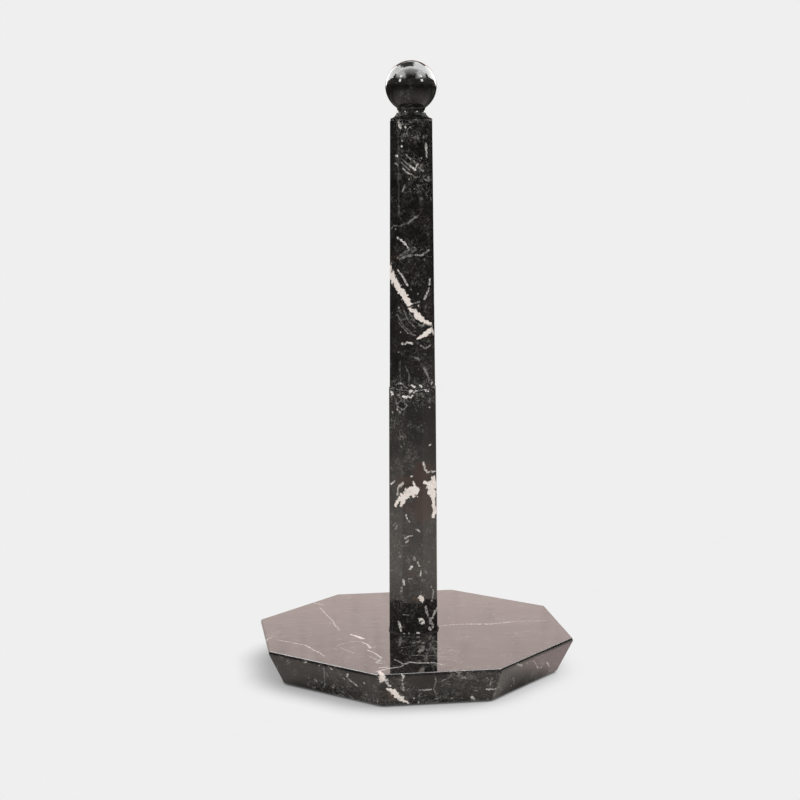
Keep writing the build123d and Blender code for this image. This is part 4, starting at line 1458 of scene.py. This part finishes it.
def make_resin(settings):
    """The beds between the stones, and the resin that holds the rod in the finial."""
    fixing, post = settings.fixing, settings.post
    finish = Finish(1.6, 0.35, 0.35, 0.70, 0.05, 0.0)
    resin = fixing_material("setting_resin", fixing.resin, fixing.grit, finish, gritty=0.18, gloss=0.03)
    climb = fixing.climb
    stone = Edge(post.lower_foot / 2, post.lower_turn, 0.0)
    make_bed(settings, "base_resin", stone._replace(reach=fixing.squeeze), stone, climb, resin, 3)
    below = Edge(post.lower_head / 2, post.lower_turn, -0.12 * MM)
    stone = Edge(post.upper_foot / 2, post.upper_turn, 0.0)
    make_bed(settings, "middle_resin", below, stone, climb, resin, 7)
    below = Edge(post.upper_head / 2, post.upper_turn, -0.2 * MM)
    make_bed(settings, "finial_resin", below, below._replace(reach=-0.4 * MM), 0.0, resin, 11)
    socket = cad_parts["socket_resin"]
    for holder in socket.material_slots:
        holder.material = resin


def thread_tree():
    """A threaded bar from one long helix of rings, closed at both ends."""
    sockets = {
        "Start": ("NodeSocketFloat", 0.0),
        "End": ("NodeSocketFloat", 0.1),
        "Crest Radius": ("NodeSocketFloat", 0.003),
        "Depth": ("NodeSocketFloat", 0.0006),
        "Pitch": ("NodeSocketFloat", 0.001),
        "Chamfer": ("NodeSocketFloat", 0.0006),
        "Steps": ("NodeSocketInt", 18),
        "Material": ("NodeSocketMaterial", None),
    }
    tree, given, out = group("GeometryNodeTree", "Thread", sockets, {"Geometry": "NodeSocketGeometry"})
    span = minus(tree, given["End"], given["Start"])
    turns = plus(tree, calc(tree, "CEIL", calc(tree, "DIVIDE", span, given["Pitch"])), 4.0)
    rows = calc(tree, "MULTIPLY_ADD", turns, 3.0, 1.0)
    columns = plus(tree, given["Steps"], 1.0)
    sheet = {"Size X": 1.0, "Size Y": 1.0, "Vertices X": columns, "Vertices Y": rows}
    sheet = add(tree, "GeometryNodeMeshGrid", sheet)
    position = tree.nodes.new("GeometryNodeInputPosition").outputs[0]
    spot = add(tree, "ShaderNodeSeparateXYZ", {"Vector": position})
    turned = plus(tree, spot.outputs["X"], 0.5)
    along = plus(tree, spot.outputs["Y"], 0.5)
    row = times(tree, along, times(tree, turns, 3.0))
    row = calc(tree, "ROUND", row)
    # Three rows to a turn: the root, and both edges of the crest.
    within = calc(tree, "MODULO", row, 3.0)
    whole = calc(tree, "DIVIDE", minus(tree, row, within), 3.0)
    on_crest = calc(tree, "MINIMUM", within, 1.0)
    second = calc(tree, "MAXIMUM", minus(tree, within, 1.0), 0.0)
    step = plus(tree, times(tree, on_crest, 0.44), times(tree, second, 0.12))
    climbed = plus(tree, plus(tree, whole, step), minus(tree, turned, 2.0))
    z = calc(tree, "MULTIPLY_ADD", climbed, given["Pitch"], given["Start"])
    cut = times(tree, minus(tree, 1.0, on_crest), given["Depth"])
    radius = minus(tree, given["Crest Radius"], cut)
    # Beyond each end the helix runs in to the axis, which closes the bar.
    above_start = minus(tree, z, given["Start"])
    inward = calc(tree, "MINIMUM", above_start, minus(tree, given["End"], z))
    tip = minus(tree, given["Crest Radius"], given["Chamfer"])
    closing = calc(tree, "DIVIDE", tip, given["Pitch"])
    limit = plus(tree, tip, calc(tree, "MAXIMUM", inward, 0.0))
    limit = plus(tree, limit, times(tree, calc(tree, "MINIMUM", inward, 0.0), closing))
    radius = calc(tree, "MINIMUM", radius, calc(tree, "MAXIMUM", limit, 0.0))
    z = calc(tree, "MINIMUM", calc(tree, "MAXIMUM", z, given["Start"]), given["End"])
    heading = times(tree, turned, 2 * math.pi)
    spots = {
        "X": times(tree, radius, calc(tree, "COSINE", heading)),
        "Y": times(tree, radius, calc(tree, "SINE", heading)),
        "Z": z,
    }
    spots = add(tree, "ShaderNodeCombineXYZ", spots).outputs[0]
    wound = add(tree, "GeometryNodeSetPosition", {"Geometry": sheet.outputs["Mesh"], "Position": spots})
    closed = add(tree, "GeometryNodeMergeByDistance", {"Geometry": wound.outputs[0], "Distance": 1e-6})
    return ended(tree, closed, given, out)


def empty_piece(name):
    made = bpy.data.objects.new(name, bpy.data.meshes.new(name))
    bpy.context.scene.collection.objects.link(made)
    return made


def make_rod(settings):
    """The tie rod, threaded from end to end."""
    fixing = settings.fixing
    bottom, top = heights("tie_rod")
    steel = steel_material(fixing)
    inputs = {
        "Start": bottom,
        "End": top,
        "Crest Radius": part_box("tie_rod")[1].x,
        "Depth": fixing.thread_depth,
        "Pitch": fixing.pitch,
        "Chamfer": fixing.rod_chamfer,
        "Material": steel,
    }
    made = grown(empty_piece("threaded_rod"), thread_tree(), inputs)
    finish_piece(polished(sealed(made), 30), steel, "plated_steel", "tie_rod")


def rounded_section(inner, outer, low, high, rounding):
    """(radius, height) points round a flat ring's cross-section."""
    points = []
    corners = ((outer, low, 270), (outer, high, 0), (inner, high, 90), (inner, low, 180))
    for r, z, start in corners:
        centre_r = r - rounding if r == outer else r + rounding
        centre_z = z + rounding if z == low else z - rounding
        points += arc((centre_r, centre_z), rounding, start, start + 90, 3)
    return points


def make_washers(settings):
    """The flat washer and the split spring washer."""
    fixing = settings.fixing
    steel = steel_material(fixing)
    hole = fixing.washer_hole / 2
    section = rounded_section(hole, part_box("flat_washer")[1].x, *heights("flat_washer"), 0.22 * MM)
    made = polished(skin("washer_flat", lathe(section, 64), closed=True), 30)
    finish_piece(made, steel, "plated_steel", "flat_washer")

    low, high = heights("spring_washer")
    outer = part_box("spring_washer")[1].y
    section = rounded_section(hole, outer, low, high, 0.15 * MM)
    half_split = fixing.split / (hole + outer)
    steps = 60
    slices = []
    for step in range(steps + 1):
        heading = half_split + (2 * math.pi - 2 * half_split) * step / steps
        slices.append([(r * math.cos(heading), r * math.sin(heading), z) for r, z in section])
    made = polished(skin("washer_spring", slices, closed=False, capped=True), 30)
    finish_piece(made, steel, "plated_steel", "spring_washer")


def make_nut(settings):
    """A hexagonal nut with the arcs that its two chamfers leave on its flats."""
    steel = steel_material(settings.fixing)
    low, high = heights("hex_nut")
    half_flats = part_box("hex_nut")[1].y
    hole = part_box("tie_rod")[1].x
    face = half_flats * 0.95
    steps = 72
    rise = [0.0, 0.08, 0.16, 0.25, 0.35, 0.46, 0.6]

    def ring(limit, z):
        """A hexagon with its corners on the x axis, cut off at a radius."""
        points = []
        for step in range(steps):
            heading = 2 * math.pi * step / steps
            off_flat = (heading % (math.pi / 3)) - math.pi / 6
            radius = min(half_flats / math.cos(off_flat), limit)
            points.append((radius * math.cos(heading), radius * math.sin(heading), z))
        return points

    countersink = 0.3 * MM
    rings = [ring(hole, low + countersink), ring(hole + countersink, low)]
    rings += [ring(face + h * MM * math.sqrt(3), low + h * MM) for h in rise]
    rings += [ring(face + h * MM * math.sqrt(3), high - h * MM) for h in reversed(rise)]
    rings += [ring(hole + countersink, high), ring(hole, high - countersink)]
    made = polished(skin("nut", rings, closed=True), 20)
    finish_piece(made, steel, "plated_steel", "hex_nut")


def stud_tree():
    """Small grip studs set in a sunflower's spiral under a foot."""
    sockets = {
        "Geometry": ("NodeSocketGeometry", None),
        "Centre": ("NodeSocketVector", None),
        "Radius": ("NodeSocketFloat", 0.008),
        "Count": ("NodeSocketInt", 48),
        "Stud": ("NodeSocketFloat", 0.001),
        "Stud Height": ("NodeSocketFloat", 0.0004),
        "Material": ("NodeSocketMaterial", None),
    }
    tree, given, out = group("GeometryNodeTree", "Grip Studs", sockets, {"Geometry": "NodeSocketGeometry"})
    index = tree.nodes.new("GeometryNodeInputIndex").outputs[0]
    heading = times(tree, index, math.pi * (3 - math.sqrt(5)))
    share = calc(tree, "SQRT", calc(tree, "DIVIDE", plus(tree, index, 0.5), given["Count"]))
    away = times(tree, share, given["Radius"])
    spots = {
        "X": times(tree, away, calc(tree, "COSINE", heading)),
        "Y": times(tree, away, calc(tree, "SINE", heading)),
    }
    spots = add(tree, "ShaderNodeCombineXYZ", spots).outputs[0]
    spots = vector_calc(tree, "ADD", spots, given["Centre"])
    points = add(tree, "GeometryNodePoints", {"Count": given["Count"], "Position": spots})
    wide = times(tree, given["Stud"], 0.5)
    narrow = times(tree, given["Stud"], 0.32)
    stud = {"Vertices": 10, "Radius Top": wide, "Radius Bottom": narrow, "Depth": given["Stud Height"]}
    stud = add(tree, "GeometryNodeMeshCone", stud)
    studs = {"Points": points.outputs[0], "Instance": stud.outputs["Mesh"]}
    studs = add(tree, "GeometryNodeInstanceOnPoints", studs)
    whole = add(tree, "GeometryNodeJoinGeometry", {"Geometry": studs.outputs[0]})
    tree.links.new(given["Geometry"], whole.inputs["Geometry"])
    return ended(tree, whole, given, out)


def make_feet(settings):
    """Four round rubber feet with a soft rim and grip studs."""
    fixing = settings.fixing
    finish = Finish(3.0, 0.10, 0.62, 0.85, 0.02, 0.0)
    rubber = fixing_material("foot_rubber", fixing.rubber, fixing.dust, finish)
    tree = stud_tree()
    for corner in ("front_right", "back_right", "back_left", "front_left"):
        node = "rubber_foot_" + corner
        low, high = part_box(node)
        centre = (low + high) / 2
        radius = (high.x - low.x) / 2
        under = low.z + fixing.stud_height
        rim = 0.25 * MM
        profile = [(0, high.z), *arc((radius - rim, high.z - rim), rim, 90, 0, 4)]
        profile += arc((radius - rim, under + rim), rim, 0, -90, 4)
        hollow = under + 0.12 * MM
        profile += [(radius - 0.9 * MM, under), (radius - 1.1 * MM, hollow), (0, hollow)]
        rings = [[point + Vector((centre.x, centre.y, 0)) for point in ring] for ring in lathe(profile, 48)]
        made = skin("foot_" + corner, rings, closed=False)
        inputs = {
            "Centre": (centre.x, centre.y, low.z),
            "Radius": radius - 1.8 * MM,
            "Count": fixing.studs,
            "Stud": fixing.stud,
            "Stud Height": fixing.stud_height + 0.16 * MM,
            "Material": rubber,
        }
        finish_piece(polished(grown(made, tree, inputs), 40), rubber, "foot_rubber", node)


# ---- Operators ----------------------------------------------------------------------------------------


class HolderOperator:
    bl_options = {"REGISTER", "UNDO"}


class TOWELHOLDER_OT_stage(HolderOperator, bpy.types.Operator):
    """Lay the floor, light the studio and set up the camera"""

    bl_idname = "towelholder.stage"
    bl_label = "Stage"

    def execute(self, context):
        stage = context.scene.towel_holder.stage
        make_camera(stage)
        make_floor(stage)
        make_lights(stage)
        make_world(stage)
        context.scene.view_settings.view_transform = "Standard"
        return {"FINISHED"}


class TOWELHOLDER_OT_slab(HolderOperator, bpy.types.Operator):
    """Build the octagonal slab"""

    bl_idname = "towelholder.slab"
    bl_label = "Slab"

    def execute(self, context):
        make_slab(context.scene.towel_holder)
        return {"FINISHED"}


class TOWELHOLDER_OT_post(HolderOperator, bpy.types.Operator):
    """Build the two octagonal post pieces"""

    bl_idname = "towelholder.post"
    bl_label = "Post"

    def execute(self, context):
        settings = context.scene.towel_holder
        post = settings.post
        lower = (post.lower_foot, post.lower_head)
        upper = (post.upper_foot, post.upper_head)
        bedding = Bedding(1.0, 16.0, 0.35, 1.8, 0.22, 9.0, 0.12)
        drawings = ((LOWER_POST_VEINS, through_post),)
        stone = marble_material(settings.marble, "lower_post_marble", bedding, drawings, lower_tone)
        slot = "lower_post_marble"
        make_post_piece(settings, "post_lower", "lower_post", lower, post.lower_turn, stone, slot)
        bedding = Bedding(0.6, 11.0, 0.40, 1.6, 0.25, 11.0, 0.10)
        drawings = ((UPPER_POST_VEINS, through_post),)
        stone = marble_material(settings.marble, "upper_post_marble", bedding, drawings)
        slot = "upper_post_marble"
        make_post_piece(settings, "post_upper", "upper_post", upper, post.upper_turn, stone, slot)
        return {"FINISHED"}


class TOWELHOLDER_OT_finial(HolderOperator, bpy.types.Operator):
    """Turn the ball, neck and foot"""

    bl_idname = "towelholder.finial"
    bl_label = "Finial"

    def execute(self, context):
        make_finial(context.scene.towel_holder)
        return {"FINISHED"}


class TOWELHOLDER_OT_resin(HolderOperator, bpy.types.Operator):
    """Lay the resin beds in the joints and fill the finial's socket"""

    bl_idname = "towelholder.resin"
    bl_label = "Resin"

    def execute(self, context):
        make_resin(context.scene.towel_holder)
        return {"FINISHED"}


class TOWELHOLDER_OT_rod(HolderOperator, bpy.types.Operator):
    """Cut the threaded tie rod"""

    bl_idname = "towelholder.rod"
    bl_label = "Tie Rod"

    def execute(self, context):
        make_rod(context.scene.towel_holder)
        return {"FINISHED"}


class TOWELHOLDER_OT_nut(HolderOperator, bpy.types.Operator):
    """Make the nut and its two washers"""

    bl_idname = "towelholder.nut"
    bl_label = "Nut and Washers"

    def execute(self, context):
        make_washers(context.scene.towel_holder)
        make_nut(context.scene.towel_holder)
        return {"FINISHED"}


class TOWELHOLDER_OT_feet(HolderOperator, bpy.types.Operator):
    """Mould the four rubber feet"""

    bl_idname = "towelholder.feet"
    bl_label = "Feet"

    def execute(self, context):
        make_feet(context.scene.towel_holder)
        return {"FINISHED"}


OPERATORS = (
    TOWELHOLDER_OT_stage,
    TOWELHOLDER_OT_slab,
    TOWELHOLDER_OT_post,
    TOWELHOLDER_OT_finial,
    TOWELHOLDER_OT_resin,
    TOWELHOLDER_OT_rod,
    TOWELHOLDER_OT_nut,
    TOWELHOLDER_OT_feet,
)


class TOWELHOLDER_PT_panel(bpy.types.Panel):
    """Lists the holder's pieces"""

    bl_idname = "TOWELHOLDER_PT_panel"
    bl_label = "Towel Holder"
    bl_space_type = "VIEW_3D"
    bl_region_type = "UI"
    bl_category = "Towel Holder"

    def draw(self, context):
        for kind in OPERATORS:
            self.layout.operator(kind.bl_idname)


CLASSES = (
    SlabSettings,
    PostSettings,
    FinialSettings,
    FixingSettings,
    MarbleSettings,
    StageSettings,
    HolderSettings,
    *OPERATORS,
    TOWELHOLDER_PT_panel,
)


def register():
    for kind in CLASSES:
        bpy.utils.register_class(kind)
    bpy.types.Scene.towel_holder = PointerProperty(type=HolderSettings)


def unregister():
    del bpy.types.Scene.towel_holder
    for kind in reversed(CLASSES):
        bpy.utils.unregister_class(kind)


def main():
    register()
    for kind in OPERATORS:
        family, name = kind.bl_idname.split(".")
        getattr(getattr(bpy.ops, family), name)()


if __name__ == "__main__":
    main()
